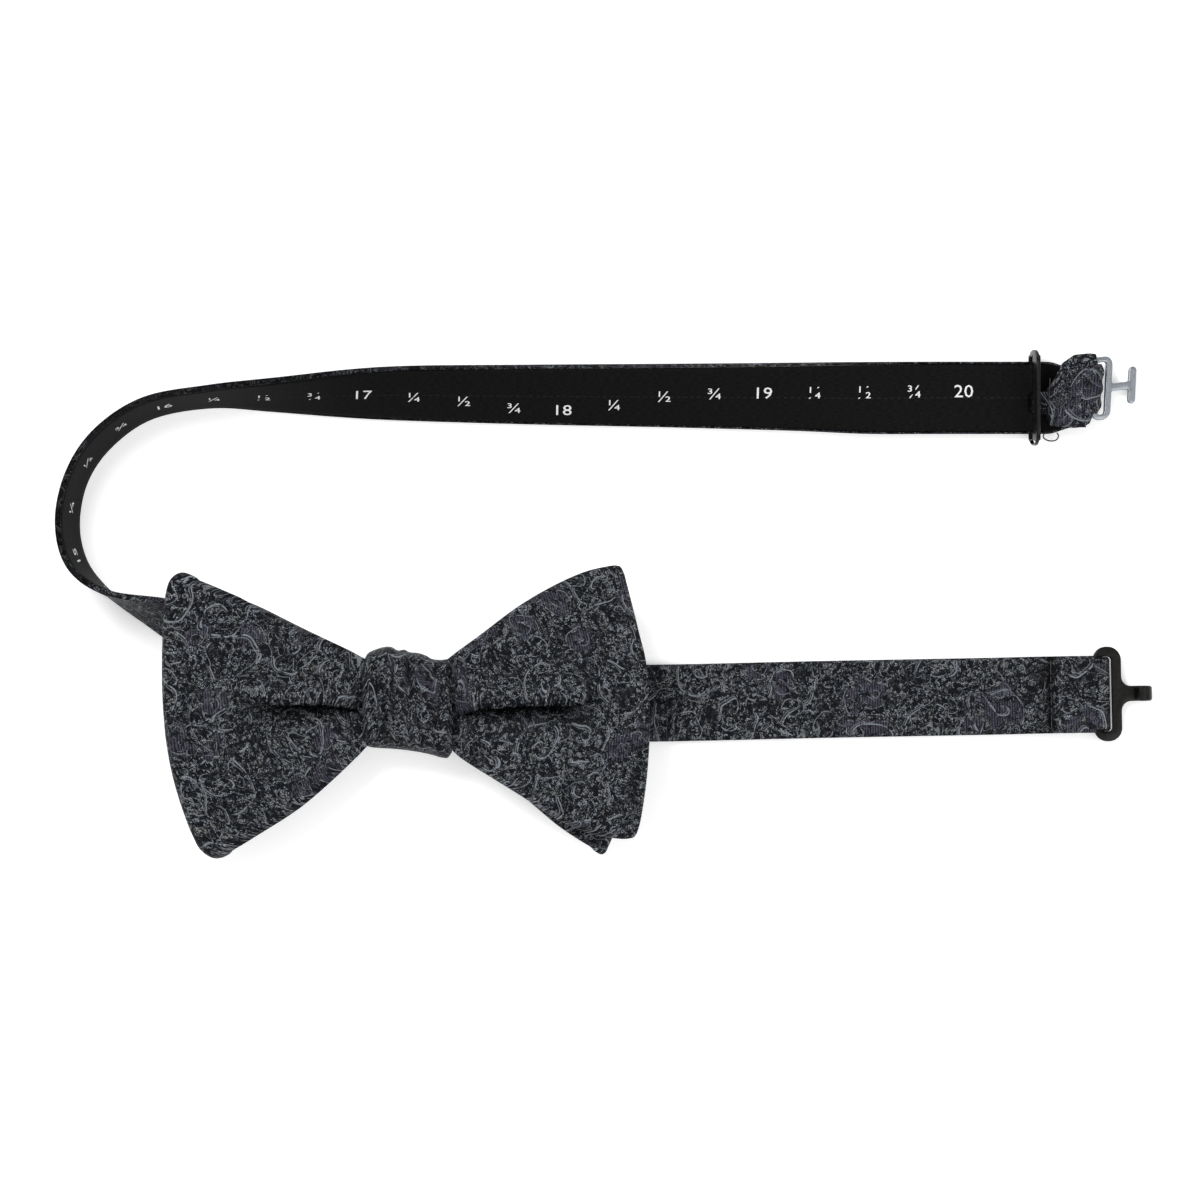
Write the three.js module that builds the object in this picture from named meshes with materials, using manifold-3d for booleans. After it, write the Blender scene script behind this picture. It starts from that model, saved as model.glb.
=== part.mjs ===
// Adjustable self-tie bow tie, tied and laid on its back with its long band looped round.
// Millimetres. +X runs to the metal fittings, +Y to the looped band, +Z out of the bow's front.
// Origin: centre of the flat back of the knot, on the surface that the tie lies on.
import * as THREE from "three";
import { mergeVertices } from "three/addons/utils/BufferGeometryUtils.js";
import Module from "manifold-3d";

const wasm = await Module();
wasm.setup();

// Neck band: a channel of face fabric, an interlining and a lining or size tape inside it.
const longBandWidth = 18.4;
const shortBandWidth = 19.6;
const clothThickness = 0.45;
const plyGap = 0.15; // clearance between the cloth layers of a band
const edgeGap = 0.25; // clearance between a band's inner layers and its folded edges
const bandThickness = 3 * clothThickness + 2 * plyGap;
const restGap = 0.1; // how far the soft pieces stay above the surface they lie on

// Bow: each layer is a sleeve of face fabric round an interlining.
const wingThickness = 2.0;
const wingCloth = 0.5;
const interliningThickness = 0.5;
const knotEndX = 3.5; // the layers end this far from the middle of the knot
const knotEndHalfWidth = 9.0;
const sleeveHem = 1.2; // distance from a sleeve's edge to its pocket
const interliningInset = 1.7; // distance from a sleeve's edge to the interlining

// Knot: a wrap of face fabric round the gathered layers.
const knotLeft = -10.4;
const knotRight = 10.9;
const knotBottomY = -12.5;
const knotTopY = 13.2;
const knotHeight = 18.5;
const knotCornerRadius = 3.2;
const knotWrapThickness = 1.5;

// Metal fittings.
const metalThickness = 1.2;
const metalBevel = 0.3;
const wrapClearance = 0.35; // between a metal bar and the band folded round it
const sliderLength = 24.4;
const sliderHeight = 12.0;
const sliderBar = 1.0;
const sliderCentreBar = 1.4;
const sliderEndBar = 1.8;
const sliderCornerRadius = 3.2;
const sliderWindowRadius = 0.2;
const sliderX = 159.4;
const sliderLeanDeg = 10;
const tHookBar = 1.8;
const tHookRingLength = 16.0;
const tHookRingWidth = 6.4;
const tHookRingEnd = 1.4;
const tHookStem = 4.5;
const tHookStemWidth = 2.0;
const tHookCrossLength = 9.4;
const tHookCrossWidth = 2.1;
const tHookTurnDeg = 6.5;
const tHookDropDeg = 18;
const tHookPivot = new THREE.Vector3(173.8, 79.4, 4.6);
const ringLength = 24.1;
const ringWidth = 7.3;
const ringBar = 2.6;
const ringInnerBar = 1.8; // the bar that the short band is folded round
const ringCornerRadius = 3.4;
const ringNeckWidth = 3.9;
const ringNeckLength = 4.8;
const ringNeckFillet = 2.4;
const hookCurlRadius = 2.1; // to the middle of the hook's strip
const hookTipDeg = 200;
const ringDropDeg = 8;
const ringTurnDeg = 1.2;
const ringPivot = new THREE.Vector3(175.3, 1.95, 3.0);

const straightBandY = 77.3;
const straightBandLift = 1.6; // the slider's lower bar lies between the band and the surface
const bandInKnotLift = 1.9;

const faceCloth = new THREE.MeshStandardMaterial({ color: 0x3a3b42, roughness: 0.55, metalness: 0.05 });
const liningCloth = new THREE.MeshStandardMaterial({ color: 0x141416, roughness: 0.6, metalness: 0 });
const canvasCloth = new THREE.MeshStandardMaterial({ color: 0xd8d4c8, roughness: 0.9, metalness: 0 });
const sewingThread = new THREE.MeshStandardMaterial({ color: 0x1b1b1e, roughness: 0.7, metalness: 0 });
const blackMetal = new THREE.MeshStandardMaterial({ color: 0x1a1918, roughness: 0.3, metalness: 0.8 });
const nickelMetal = new THREE.MeshStandardMaterial({ color: 0x868b90, roughness: 0.35, metalness: 1 });

const tie = new THREE.Group();

function addPiece(name, geometry, material) {
  const mesh = new THREE.Mesh(geometry, material);
  mesh.name = name;
  tie.add(mesh);
  return mesh;
}

// A copy of a geometry with each vertex moved by place(x, y, z), which returns a Vector3.
function bent(geometry, place) {
  const position = geometry.attributes.position;
  const out = new THREE.BufferGeometry();
  const points = new Float32Array(position.count * 3);
  for (let i = 0; i < position.count; i++) {
    place(position.getX(i), position.getY(i), position.getZ(i)).toArray(points, i * 3);
  }
  out.setAttribute("position", new THREE.BufferAttribute(points, 3));
  if (geometry.index) out.setIndex(geometry.index.clone());
  const merged = mergeVertices(out, 1e-4);
  merged.computeVertexNormals();
  return merged;
}

// A unit slab, cut along X and Y, whose two broad faces are split along the same diagonals,
// so that it keeps its thickness when it is twisted.
function unitSlab(along, across) {
  const box = new THREE.BoxGeometry(1, 1, 1, along, across, 1);
  const index = box.index;
  const { start, count } = box.groups.find((group) => group.materialIndex === 5);
  for (let i = start; i < start + count; i += 6) {
    const [a, b, c, d] = [index.getX(i), index.getX(i + 1), index.getX(i + 4), index.getX(i + 5)];
    [a, b, c, a, c, d].forEach((corner, k) => index.setX(i + k, corner));
  }
  return box;
}

function solidOf(geometry) {
  const bare = new THREE.BufferGeometry();
  bare.setAttribute("position", geometry.attributes.position.clone());
  if (geometry.index) bare.setIndex(geometry.index.clone());
  const merged = mergeVertices(bare, 1e-4);
  return new wasm.Manifold(
    new wasm.Mesh({
      numProp: 3,
      vertProperties: merged.attributes.position.array,
      triVerts: new Uint32Array(merged.index.array),
    }),
  );
}

function geometryOf(solid) {
  const mesh = solid.getMesh();
  const geometry = new THREE.BufferGeometry();
  geometry.setAttribute("position", new THREE.BufferAttribute(mesh.vertProperties, 3));
  geometry.setIndex(new THREE.BufferAttribute(mesh.triVerts, 1));
  geometry.computeVertexNormals();
  return geometry;
}

function roundedRectangle(left, bottom, right, top, radius) {
  const shape = new THREE.Shape();
  shape.moveTo(left + radius, bottom);
  shape.lineTo(right - radius, bottom);
  shape.absarc(right - radius, bottom + radius, radius, -Math.PI / 2, 0);
  shape.lineTo(right, top - radius);
  shape.absarc(right - radius, top - radius, radius, 0, Math.PI / 2);
  shape.lineTo(left + radius, top);
  shape.absarc(left + radius, top - radius, radius, Math.PI / 2, Math.PI);
  shape.lineTo(left, bottom + radius);
  shape.absarc(left + radius, bottom + radius, radius, Math.PI, 1.5 * Math.PI);
  return shape;
}

// A flat metal stamping in the XY plane with its edges bevelled and its middle at z = 0.
function stamping(shape) {
  const geometry = new THREE.ExtrudeGeometry(shape, {
    depth: metalThickness - 2 * metalBevel,
    bevelEnabled: true,
    bevelThickness: metalBevel,
    bevelSize: metalBevel,
    bevelOffset: -metalBevel,
    bevelSegments: 1,
    curveSegments: 3,
  });
  geometry.translate(0, 0, -(metalThickness - 2 * metalBevel) / 2);
  return geometry;
}

// ---- Neck band -------------------------------------------------------------------------------

// A band path: centre line, its roll about the direction of travel, and its lift off the surface.
// Roll 0 lays the face fabric up, 90 stands the band on its edge and 180 lays the face down.
function bandPath(stops, width) {
  const middle = stops.map(([x, y, rollDeg, lift]) => {
    const roll = THREE.MathUtils.degToRad(rollDeg);
    const edge = (width / 2) * Math.sin(roll) + (bandThickness / 2) * Math.abs(Math.cos(roll));
    return new THREE.Vector3(x, y, restGap + lift + edge);
  });
  const centreLine = new THREE.CatmullRomCurve3(middle, false, "catmullrom", 0.5);
  const rolls = new THREE.CatmullRomCurve3(
    stops.map(([, , rollDeg]) => new THREE.Vector3(THREE.MathUtils.degToRad(rollDeg), 0, 0)),
    false,
    "catmullrom",
    0.5,
  );
  const up = new THREE.Vector3(0, 0, 1);
  return (t) => {
    const centre = centreLine.getPoint(t);
    const along = centreLine.getTangent(t);
    const outward = new THREE.Vector3().crossVectors(up, along).normalize();
    const upward = new THREE.Vector3().crossVectors(along, outward);
    const roll = rolls.getPoint(t).x;
    const face = upward.multiplyScalar(Math.cos(roll)).addScaledVector(outward, Math.sin(roll));
    const across = new THREE.Vector3().crossVectors(face, along);
    return { centre, along, across, face };
  };
}

// One layer of a band: its width and its two faces, measured from the band's middle.
function bandLayer(width, bottom, top, path, stations) {
  const last = stations.length - 1;
  return bent(unitSlab(last, 1), (x, y, z) => {
    const t = stations[Math.round((x + 0.5) * last)];
    const { centre, along, across, face } = path(THREE.MathUtils.clamp(t, 0, 1));
    const beyond = (t - THREE.MathUtils.clamp(t, 0, 1)) * 100;
    return centre
      .clone()
      .addScaledVector(along, beyond)
      .addScaledVector(across, y * width)
      .addScaledVector(face, THREE.MathUtils.lerp(bottom, top, z + 0.5));
  });
}

// The face fabric is a flat channel: its two edges fold round the interlining and the lining.
function addBand(names, width, path, stations) {
  const half = bandThickness / 2;
  const last = stations.length - 1;
  const openStations = stations.slice();
  openStations[0] -= 0.01;
  openStations[last] += 0.01;
  const hollowWidth = width - 2 * clothThickness;
  const innerWidth = hollowWidth - 2 * edgeGap;
  const strip = bandLayer(width, -half, half, path, stations);
  const hollow = bandLayer(hollowWidth, -half - plyGap, half - clothThickness, path, openStations);
  const core = clothThickness / 2;
  addPiece(names.face, geometryOf(solidOf(strip).subtract(solidOf(hollow))), faceCloth);
  addPiece(names.interlining, bandLayer(innerWidth, -core, core, path, stations), canvasCloth);
  addPiece(
    names.lining,
    bandLayer(innerWidth, -half, clothThickness - half, path, stations),
    liningCloth,
  );
}

function evenSteps(from, to, count) {
  return Array.from({ length: count + 1 }, (_, i) => THREE.MathUtils.lerp(from, to, i / count));
}

// x, y, roll in degrees, lift: from the knot, up on edge, round the bend, and back lining up.
const longBandStops = [
  [-3.5, 0, 0, bandInKnotLift],
  [-12, 1.2, 1, bandInKnotLift],
  [-28, 7, 8, 0],
  [-45, 15, 32, 0],
  [-61.5, 21.8, 63, 0],
  [-75, 27.2, 90, 0],
  [-83.5, 34.5, 108, 0],
  [-86.3, 45, 113, 0],
  [-84, 57, 113, 0],
  [-77.3, 67, 113, 0],
  [-66, 74.6, 112, 0],
  [-50, 77.6, 115, 0],
  [-33, 78.2, 122, 0],
  [-5, 78.5, 140, 0],
  [30, 78.3, 148, 0],
  [70, 78, 157, 0.3],
  [100, 77.7, 170, 0.9],
  [118, straightBandY, 180, straightBandLift],
  [133, straightBandY, 180, straightBandLift],
  [148, straightBandY, 180, straightBandLift],
  [161.8, straightBandY, 180, straightBandLift],
];
const twistEnd = 0.6; // the part of the long band's stops that lies in the twist and the bend
addBand(
  { face: "long_band_face", interlining: "long_band_interlining", lining: "size_tape" },
  longBandWidth,
  bandPath(longBandStops, longBandWidth),
  [...evenSteps(0, twistEnd, 48), ...evenSteps(twistEnd, 1, 16).slice(1)],
);

// The short band lies face up and rises over the end that is folded under it.
const shortBandStops = [
  [3.5, 0, 0, bandInKnotLift],
  [12, -0.1, 0, bandInKnotLift],
  [28, -0.2, 0, 0],
  [62, -0.35, 0, 0],
  [106, 0.6, 0, 0],
  [148, 1.4, 0, 0.05],
  [158, 1.65, 0, 1.2],
  [166, 1.8, 0, 2.6],
  [175.1, 1.95, 0, 4.15],
];
addBand(
  { face: "short_band_face", interlining: "short_band_interlining", lining: "short_band_lining" },
  shortBandWidth,
  bandPath(shortBandStops, shortBandWidth),
  evenSteps(0, 1, 20),
);

// ---- Folded band ends ------------------------------------------------------------------------

// A laminated strip that follows a path in the local XZ plane, centred on y = 0.
// halfWidth(t) gives its half width along the path.
function foldedStrip(points, thickness, halfWidth, stations) {
  const line = new THREE.CatmullRomCurve3(
    points.map(([x, z]) => new THREE.Vector3(x, 0, z)),
    false,
    "centripetal",
  );
  const sideways = new THREE.Vector3(0, 1, 0);
  return bent(unitSlab(stations, 1), (x, y, z) => {
    const t = THREE.MathUtils.clamp(x + 0.5, 0, 1);
    const normal = new THREE.Vector3().crossVectors(line.getTangent(t), sideways);
    return line
      .getPoint(t)
      .addScaledVector(sideways, 2 * y * halfWidth(t))
      .addScaledVector(normal, z * thickness);
  });
}

function arcPoints(centreX, centreZ, radius, fromDeg, toDeg, count) {
  return Array.from({ length: count }, (_, i) => {
    const angle = THREE.MathUtils.degToRad(THREE.MathUtils.lerp(fromDeg, toDeg, i / (count - 1)));
    return [centreX + radius * Math.cos(angle), centreZ + radius * Math.sin(angle)];
  });
}

// The wrap of the long band round the T-hook's inner bar, turned with the hook.
const tWrapHalfWidth = tHookRingLength / 2 - tHookRingEnd - 0.3;
const tWrapRadius = tHookBar / 2 + wrapClearance + bandThickness / 2;
const tWrap = addPiece(
  "long_band_fold",
  foldedStrip(
    arcPoints(0, 0, tWrapRadius, -90, 90, 9),
    bandThickness,
    () => tWrapHalfWidth,
    12,
  ),
  faceCloth,
);
tWrap.position.copy(tHookPivot);
tWrap.rotation.z = THREE.MathUtils.degToRad(tHookTurnDeg);

// The band under the fold, from the slider to the wrap, and the band that returns over it.
const lowerRunStart = 162.1;
const lowerRunEnd = tHookPivot.x - 1.2;
const lowerRunZ = restGap + straightBandLift + bandThickness / 2;
const lowerRun = addPiece(
  "fold_lower_run",
  foldedStrip(
    [
      [lowerRunStart, lowerRunZ],
      [(lowerRunStart + lowerRunEnd) / 2, lowerRunZ],
      [lowerRunEnd, lowerRunZ],
    ],
    bandThickness,
    () => longBandWidth / 2,
    4,
  ),
  liningCloth,
);
lowerRun.position.y = straightBandY;

const returnRunStart = 165.2;
const returnRunEnd = tHookPivot.x - 1.2;
const returnRunZ = tHookPivot.z + tWrapRadius;
const returnRun = addPiece(
  "fold_return_run",
  foldedStrip(
    [
      [returnRunStart, returnRunZ],
      [(returnRunStart + returnRunEnd) / 2, returnRunZ],
      [returnRunEnd, returnRunZ],
    ],
    bandThickness,
    (t) => longBandWidth / 2 - 0.4 * (1 - t),
    4,
  ),
  faceCloth,
);
returnRun.position.y = straightBandY + 0.6;

// ---- Slider ----------------------------------------------------------------------------------

const sliderLean = THREE.MathUtils.degToRad(sliderLeanDeg);
const sliderAxisZ =
  restGap + (sliderHeight / 2) * Math.cos(sliderLean) + (metalThickness / 2) * Math.sin(sliderLean);
const sliderShape = roundedRectangle(
  -sliderHeight / 2,
  -sliderLength / 2,
  sliderHeight / 2,
  sliderLength / 2,
  sliderCornerRadius,
);
const windowLength = sliderLength / 2 - sliderEndBar;
for (const side of [-1, 1]) {
  const near = side * (sliderCentreBar / 2);
  const far = side * (sliderHeight / 2 - sliderBar);
  const left = Math.min(near, far);
  const right = Math.max(near, far);
  sliderShape.holes.push(
    roundedRectangle(left, -windowLength, right, windowLength, sliderWindowRadius),
  );
}
const slider = addPiece("slider", stamping(sliderShape), blackMetal);
slider.rotation.y = -THREE.MathUtils.degToRad(90 - sliderLeanDeg);
slider.position.set(sliderX, straightBandY, sliderAxisZ);

// The end of the band narrows, wraps the slider's centre bar and is sewn to itself.
const tabThickness = 1.0;
const tabRadius = metalThickness / 2 + 0.1 + wrapClearance + tabThickness / 2;
const tabTailX = 4.9;
const tab = addPiece(
  "slider_tab",
  foldedStrip(
    [
      [tabTailX, 0.62],
      [3.4, 0.75],
      [1.9, tabRadius - 0.1],
      ...arcPoints(0, 0, tabRadius, 65, 295, 9),
      [1.9, -tabRadius + 0.1],
      [3.4, -0.75],
      [tabTailX, -0.62],
    ],
    tabThickness,
    (t) => 5.2 + 2.4 * Math.abs(2 * t - 1) ** 2,
    26,
  ),
  faceCloth,
);
tab.position.set(sliderX, straightBandY + 0.3, sliderAxisZ);

// A round sewing thread along a line.
function threadAlong(points, radius, segments) {
  const line = new THREE.CatmullRomCurve3(points.map(([x, y, z]) => new THREE.Vector3(x, y, z)));
  const section = new THREE.Shape();
  section.absarc(0, 0, radius, 0, 2 * Math.PI);
  return bent(
    new THREE.ExtrudeGeometry(section, {
      steps: segments,
      bevelEnabled: false,
      extrudePath: line,
      curveSegments: 3,
    }),
    (x, y, z) => new THREE.Vector3(x, y, z),
  );
}

// A row of stitches in relief: a thread that rises and dips once a stitch.
function stitchRow(from, to, stitches, rise, radius) {
  const points = [];
  const count = stitches * 2;
  for (let i = 0; i <= count; i++) {
    const t = i / count;
    points.push([
      THREE.MathUtils.lerp(from[0], to[0], t),
      THREE.MathUtils.lerp(from[1], to[1], t),
      THREE.MathUtils.lerp(from[2], to[2], t) + (i % 2 ? rise : 0),
    ]);
  }
  return threadAlong(points, radius, count * 2);
}

const stitchRadius = 0.14;
const tabTop = sliderAxisZ + 0.7 + tabThickness / 2;
addPiece(
  "slider_tab_stitches",
  stitchRow(
    [sliderX + 3.9, straightBandY - 5.5, tabTop + 0.22],
    [sliderX + 3.9, straightBandY + 6.1, tabTop + 0.22],
    5,
    0.12,
    stitchRadius,
  ),
  sewingThread,
);

addPiece(
  "loose_thread_loop",
  threadAlong(
    [
      [162.6, straightBandY - longBandWidth / 2 - 0.45, lowerRunZ],
      [163.2, straightBandY - longBandWidth / 2 - 1.1, lowerRunZ - 0.2],
      [164.4, straightBandY - longBandWidth / 2 - 1.3, lowerRunZ - 0.3],
      [165.4, straightBandY - longBandWidth / 2 - 0.9, lowerRunZ - 0.2],
      [165.9, straightBandY - longBandWidth / 2 - 0.45, lowerRunZ],
    ],
    0.16,
    10,
  ),
  sewingThread,
);

// ---- T-hook ----------------------------------------------------------------------------------

// Ring, stem and cross bar, with the ring's inner bar on the Y axis of the stamping.
function tHookShape() {
  const left = -tHookBar / 2;
  const right = left + tHookRingWidth;
  const top = tHookRingLength / 2;
  const stem = tHookStemWidth / 2;
  const cross = right + tHookStem;
  const crossHalf = tHookCrossLength / 2;
  const r = 2.2;
  const tip = tHookCrossWidth / 2;
  const shape = new THREE.Shape();
  shape.moveTo(left + r, -top);
  shape.lineTo(right - r, -top);
  shape.absarc(right - r, -top + r, r, -Math.PI / 2, 0);
  shape.lineTo(right, -stem);
  shape.lineTo(cross, -stem);
  shape.lineTo(cross, -crossHalf + tip);
  shape.absarc(cross + tip, -crossHalf + tip, tip, Math.PI, 2 * Math.PI);
  shape.lineTo(cross + 2 * tip, crossHalf - tip);
  shape.absarc(cross + tip, crossHalf - tip, tip, 0, Math.PI);
  shape.lineTo(cross, stem);
  shape.lineTo(right, stem);
  shape.lineTo(right, top - r);
  shape.absarc(right - r, top - r, r, 0, Math.PI / 2);
  shape.lineTo(left + r, top);
  shape.absarc(left + r, top - r, r, Math.PI / 2, Math.PI);
  shape.lineTo(left, -top + r);
  shape.absarc(left + r, -top + r, r, Math.PI, 1.5 * Math.PI);
  const slotTop = top - tHookRingEnd;
  shape.holes.push(roundedRectangle(tHookBar / 2, -slotTop, right - tHookBar, slotTop, 0.6));
  return shape;
}
const tHook = addPiece("t_hook", stamping(tHookShape()), nickelMetal);
tHook.rotation.set(0, THREE.MathUtils.degToRad(tHookDropDeg), THREE.MathUtils.degToRad(tHookTurnDeg), "ZYX");
tHook.position.copy(tHookPivot);

// ---- Ring and hook of the short band ---------------------------------------------------------

function ringShape() {
  const left = -ringInnerBar / 2;
  const right = left + ringWidth;
  const top = ringLength / 2;
  const neck = ringNeckWidth / 2;
  const r = ringCornerRadius;
  const f = ringNeckFillet;
  const shape = new THREE.Shape();
  shape.moveTo(left + r, -top);
  shape.lineTo(right - r, -top);
  shape.absarc(right - r, -top + r, r, -Math.PI / 2, 0);
  shape.lineTo(right, -neck - f);
  shape.absarc(right + f, -neck - f, f, Math.PI, Math.PI / 2, true);
  shape.lineTo(right + ringNeckLength, -neck);
  shape.lineTo(right + ringNeckLength, neck);
  shape.lineTo(right + f, neck);
  shape.absarc(right + f, neck + f, f, 1.5 * Math.PI, Math.PI, true);
  shape.lineTo(right, top - r);
  shape.absarc(right - r, top - r, r, 0, Math.PI / 2);
  shape.lineTo(left + r, top);
  shape.absarc(left + r, top - r, r, Math.PI / 2, Math.PI);
  shape.lineTo(left, -top + r);
  shape.absarc(left + r, -top + r, r, Math.PI, 1.5 * Math.PI);
  const slotTop = top - ringBar;
  shape.holes.push(roundedRectangle(ringInnerBar / 2, -slotTop, right - ringBar, slotTop, 0.8));
  return shape;
}

// The hook curls up and back from the end of the neck: a strip bent in the XZ plane.
function hookCurl() {
  const neckEnd = -ringInnerBar / 2 + ringWidth + ringNeckLength;
  return foldedStrip(
    [[neckEnd - 0.8, 0], ...arcPoints(neckEnd, hookCurlRadius, hookCurlRadius, -90, hookTipDeg - 90, 9)],
    metalThickness * 0.98,
    () => ringNeckWidth / 2,
    14,
  );
}
const ringHook = addPiece(
  "ring_hook",
  geometryOf(solidOf(stamping(ringShape())).add(solidOf(hookCurl()))),
  blackMetal,
);
ringHook.rotation.set(0, THREE.MathUtils.degToRad(ringDropDeg), THREE.MathUtils.degToRad(ringTurnDeg), "ZYX");
ringHook.position.copy(ringPivot);

// The end of the short band, folded round the ring's inner bar and back under the band.
const shortFoldRadius = ringInnerBar / 2 + wrapClearance + bandThickness / 2;
const shortFoldShift = 0.5; // the fold sits a little to the outer side of the bar
const shortFold = addPiece(
  "short_band_fold",
  foldedStrip(
    [
      ...arcPoints(shortFoldShift, 0, shortFoldRadius, 90, -90, 9),
      [-3.5, -shortFoldRadius],
      [-8, -shortFoldRadius],
      [-12.6, -shortFoldRadius],
    ],
    bandThickness,
    () => ringLength / 2 - ringBar - 0.35,
    22,
  ),
  faceCloth,
);
shortFold.position.copy(ringPivot);
shortFold.rotation.z = THREE.MathUtils.degToRad(ringTurnDeg);

const hemX = 163.7;
const hemZ = 4.22;
addPiece(
  "short_band_hem_stitches",
  stitchRow([hemX, -7.2, hemZ], [hemX, 10.6, hemZ], 8, 0.12, stitchRadius),
  sewingThread,
);

// ---- Bow -------------------------------------------------------------------------------------

function outlineCurve(points) {
  return new THREE.CatmullRomCurve3(
    points.map(([x, y]) => new THREE.Vector3(x, y, 0)),
    false,
    "centripetal",
  );
}

// A wing's outline as a patch: u runs from the knot to the outer edge, v from bottom to top.
function wingOutline({ bottom, top, outer }) {
  const low = outlineCurve(bottom);
  const high = outlineCurve(top);
  const end = outlineCurve(outer);
  return (uFree, vFree) => {
    const u = THREE.MathUtils.clamp(uFree, 0, 1);
    const v = THREE.MathUtils.clamp(vFree, 0, 1);
    const lowPoint = low.getPoint(u);
    const highPoint = high.getPoint(u);
    const endPoint = end.getPoint(v);
    const lowEnd = low.getPoint(1);
    const highEnd = high.getPoint(1);
    const straight = lowPoint.clone().lerp(highPoint, v);
    return straight.addScaledVector(endPoint.sub(lowEnd.lerp(highEnd, v)), u);
  };
}

const leftWing = wingOutline({
  bottom: [
    [-knotEndX, -knotEndHalfWidth],
    [-11.2, -9.6],
    [-27.2, -26.3],
    [-43.7, -36.6],
    [-50, -38.2],
  ],
  top: [
    [-knotEndX, knotEndHalfWidth],
    [-11.2, 10.3],
    [-27.2, 18.6],
    [-44, 26.7],
    [-58.3, 31.2],
  ],
  outer: [
    [-50, -38.2],
    [-55.6, -28],
    [-60.2, -9.7],
    [-62, 13.2],
    [-58.3, 31.2],
  ],
});
const rightWing = wingOutline({
  bottom: [
    [knotEndX, -knotEndHalfWidth],
    [11.8, -9.9],
    [28.7, -23.2],
    [43, -31.6],
    [57.6, -34],
  ],
  top: [
    [knotEndX, knotEndHalfWidth],
    [11.6, 10],
    [28.7, 23.9],
    [44, 32],
    [55, 33.4],
  ],
  outer: [
    [57.6, -34],
    [61.2, -18],
    [61.6, -3],
    [59.6, 15],
    [55, 33.4],
  ],
});
const rearRightWing = wingOutline({
  bottom: [
    [knotEndX, -knotEndHalfWidth],
    [11.8, -9.7],
    [28.7, -22.8],
    [39, -31.6],
    [49.6, -37],
  ],
  top: [
    [knotEndX, knotEndHalfWidth - 0.4],
    [11.6, 10],
    [28.7, 21.6],
    [42, 28],
    [52, 30.6],
  ],
  outer: [
    [49.6, -37],
    [56.6, -20],
    [58.4, -3],
    [57, 15],
    [52, 30.6],
  ],
});

// Height of the middle of the rearmost layer: it clears the raised band on the left.
const layerKnotZ = 5.6;
const pleatMost = 3.2;
function rearHeight(point, u) {
  const onLeft = point.x < 0;
  const outerZ = onLeft ? 4.4 - 0.181 * point.x + 0.154 * point.y : 4.4 + 0.075 * point.x;
  const eased = THREE.MathUtils.smoothstep(u, 0, 0.75);
  return THREE.MathUtils.lerp(layerKnotZ, outerZ, eased);
}

// The front layers sink into a pleat that starts at the knot and fades outwards.
function pleatDepth(point, u) {
  const fade = Math.max(0, 1 - u / 0.8) * THREE.MathUtils.smoothstep(u, 0.06, 0.3);
  return pleatMost * fade * Math.exp(-(((point.y + 2) / 3.4) ** 2));
}

const layerStep = 3.4; // from one layer's middle to the next at the knot
const layerStepOuter = 2.6; // and at the outer edge
const loopOpening = 4.4; // between the middles of a loop's two legs at its fold
const frontPuff = 3.6; // how much more the front loop opens half way out
const rearPuff = 1.2;
const frontEndGap = 5.0; // the front end stands this much further off the rear loop

// A single leg of a wing: shrink brings it inside the outline, layer counts up from the rear.
function singleLeg(outline, layer, shrink, pleated, extraGap) {
  return (u, v) => {
    const point = outline(u, v).multiplyScalar(1 - shrink * u);
    const step = THREE.MathUtils.lerp(layerStep, layerStepOuter, u);
    point.z = rearHeight(point, u) + layer * step + extraGap * THREE.MathUtils.smoothstep(u, 0.08, 0.4);
    if (pleated) point.z -= pleatDepth(point, u);
    return point;
  };
}

// A loop: out along its rear leg, round the fold and back along its front leg.
const foldShare = 0.08; // half of the fold's share of the loop's run
function loopSurface(outline, layer, puffMost, pleated) {
  const rear = singleLeg(outline, layer, 0, false, 0);
  const inset = 1 - loopOpening / 2 / 60;
  const front = (u, v) => {
    const point = rear(u, v);
    const puff = puffMost * Math.sin(Math.PI * u) * Math.cos((v - 0.5) * Math.PI * 0.9);
    point.z += THREE.MathUtils.lerp(layerStep, loopOpening, u) + puff;
    if (pleated) point.z -= pleatDepth(point, u);
    return point;
  };
  return (s, v) => {
    if (s < 0.5 - foldShare) return rear((s / (0.5 - foldShare)) * inset, v);
    if (s > 0.5 + foldShare) return front(((1 - s) / (0.5 - foldShare)) * inset, v);
    const angle = ((s - 0.5) / foldShare) * (Math.PI / 2);
    const low = rear(inset, v);
    const high = front(inset, v);
    const out = rear(1, v).sub(low).setZ(0);
    return low
      .lerp(high, (1 + Math.sin(angle)) / 2)
      .addScaledVector(out, Math.cos(angle));
  };
}

// A closed sheet of even thickness about a surface, at the given stations and inset at its sides.
function sheetSolid(surface, thickness, stations, across, inset) {
  const step = 0.004;
  const last = stations.length - 1;
  return bent(unitSlab(last, across), (x, y, z) => {
    const s = stations[Math.round((x + 0.5) * last)];
    const width = surface(s, 0).distanceTo(surface(s, 1));
    const margin = inset / width;
    const v = THREE.MathUtils.clamp(y + 0.5, margin, 1 - margin);
    const alongS = surface(s + step, v).sub(surface(s - step, v));
    const alongV = surface(s, v + step).sub(surface(s, v - step));
    const normal = alongS.cross(alongV).normalize();
    return surface(s, v).addScaledVector(normal, z * thickness);
  });
}

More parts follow.
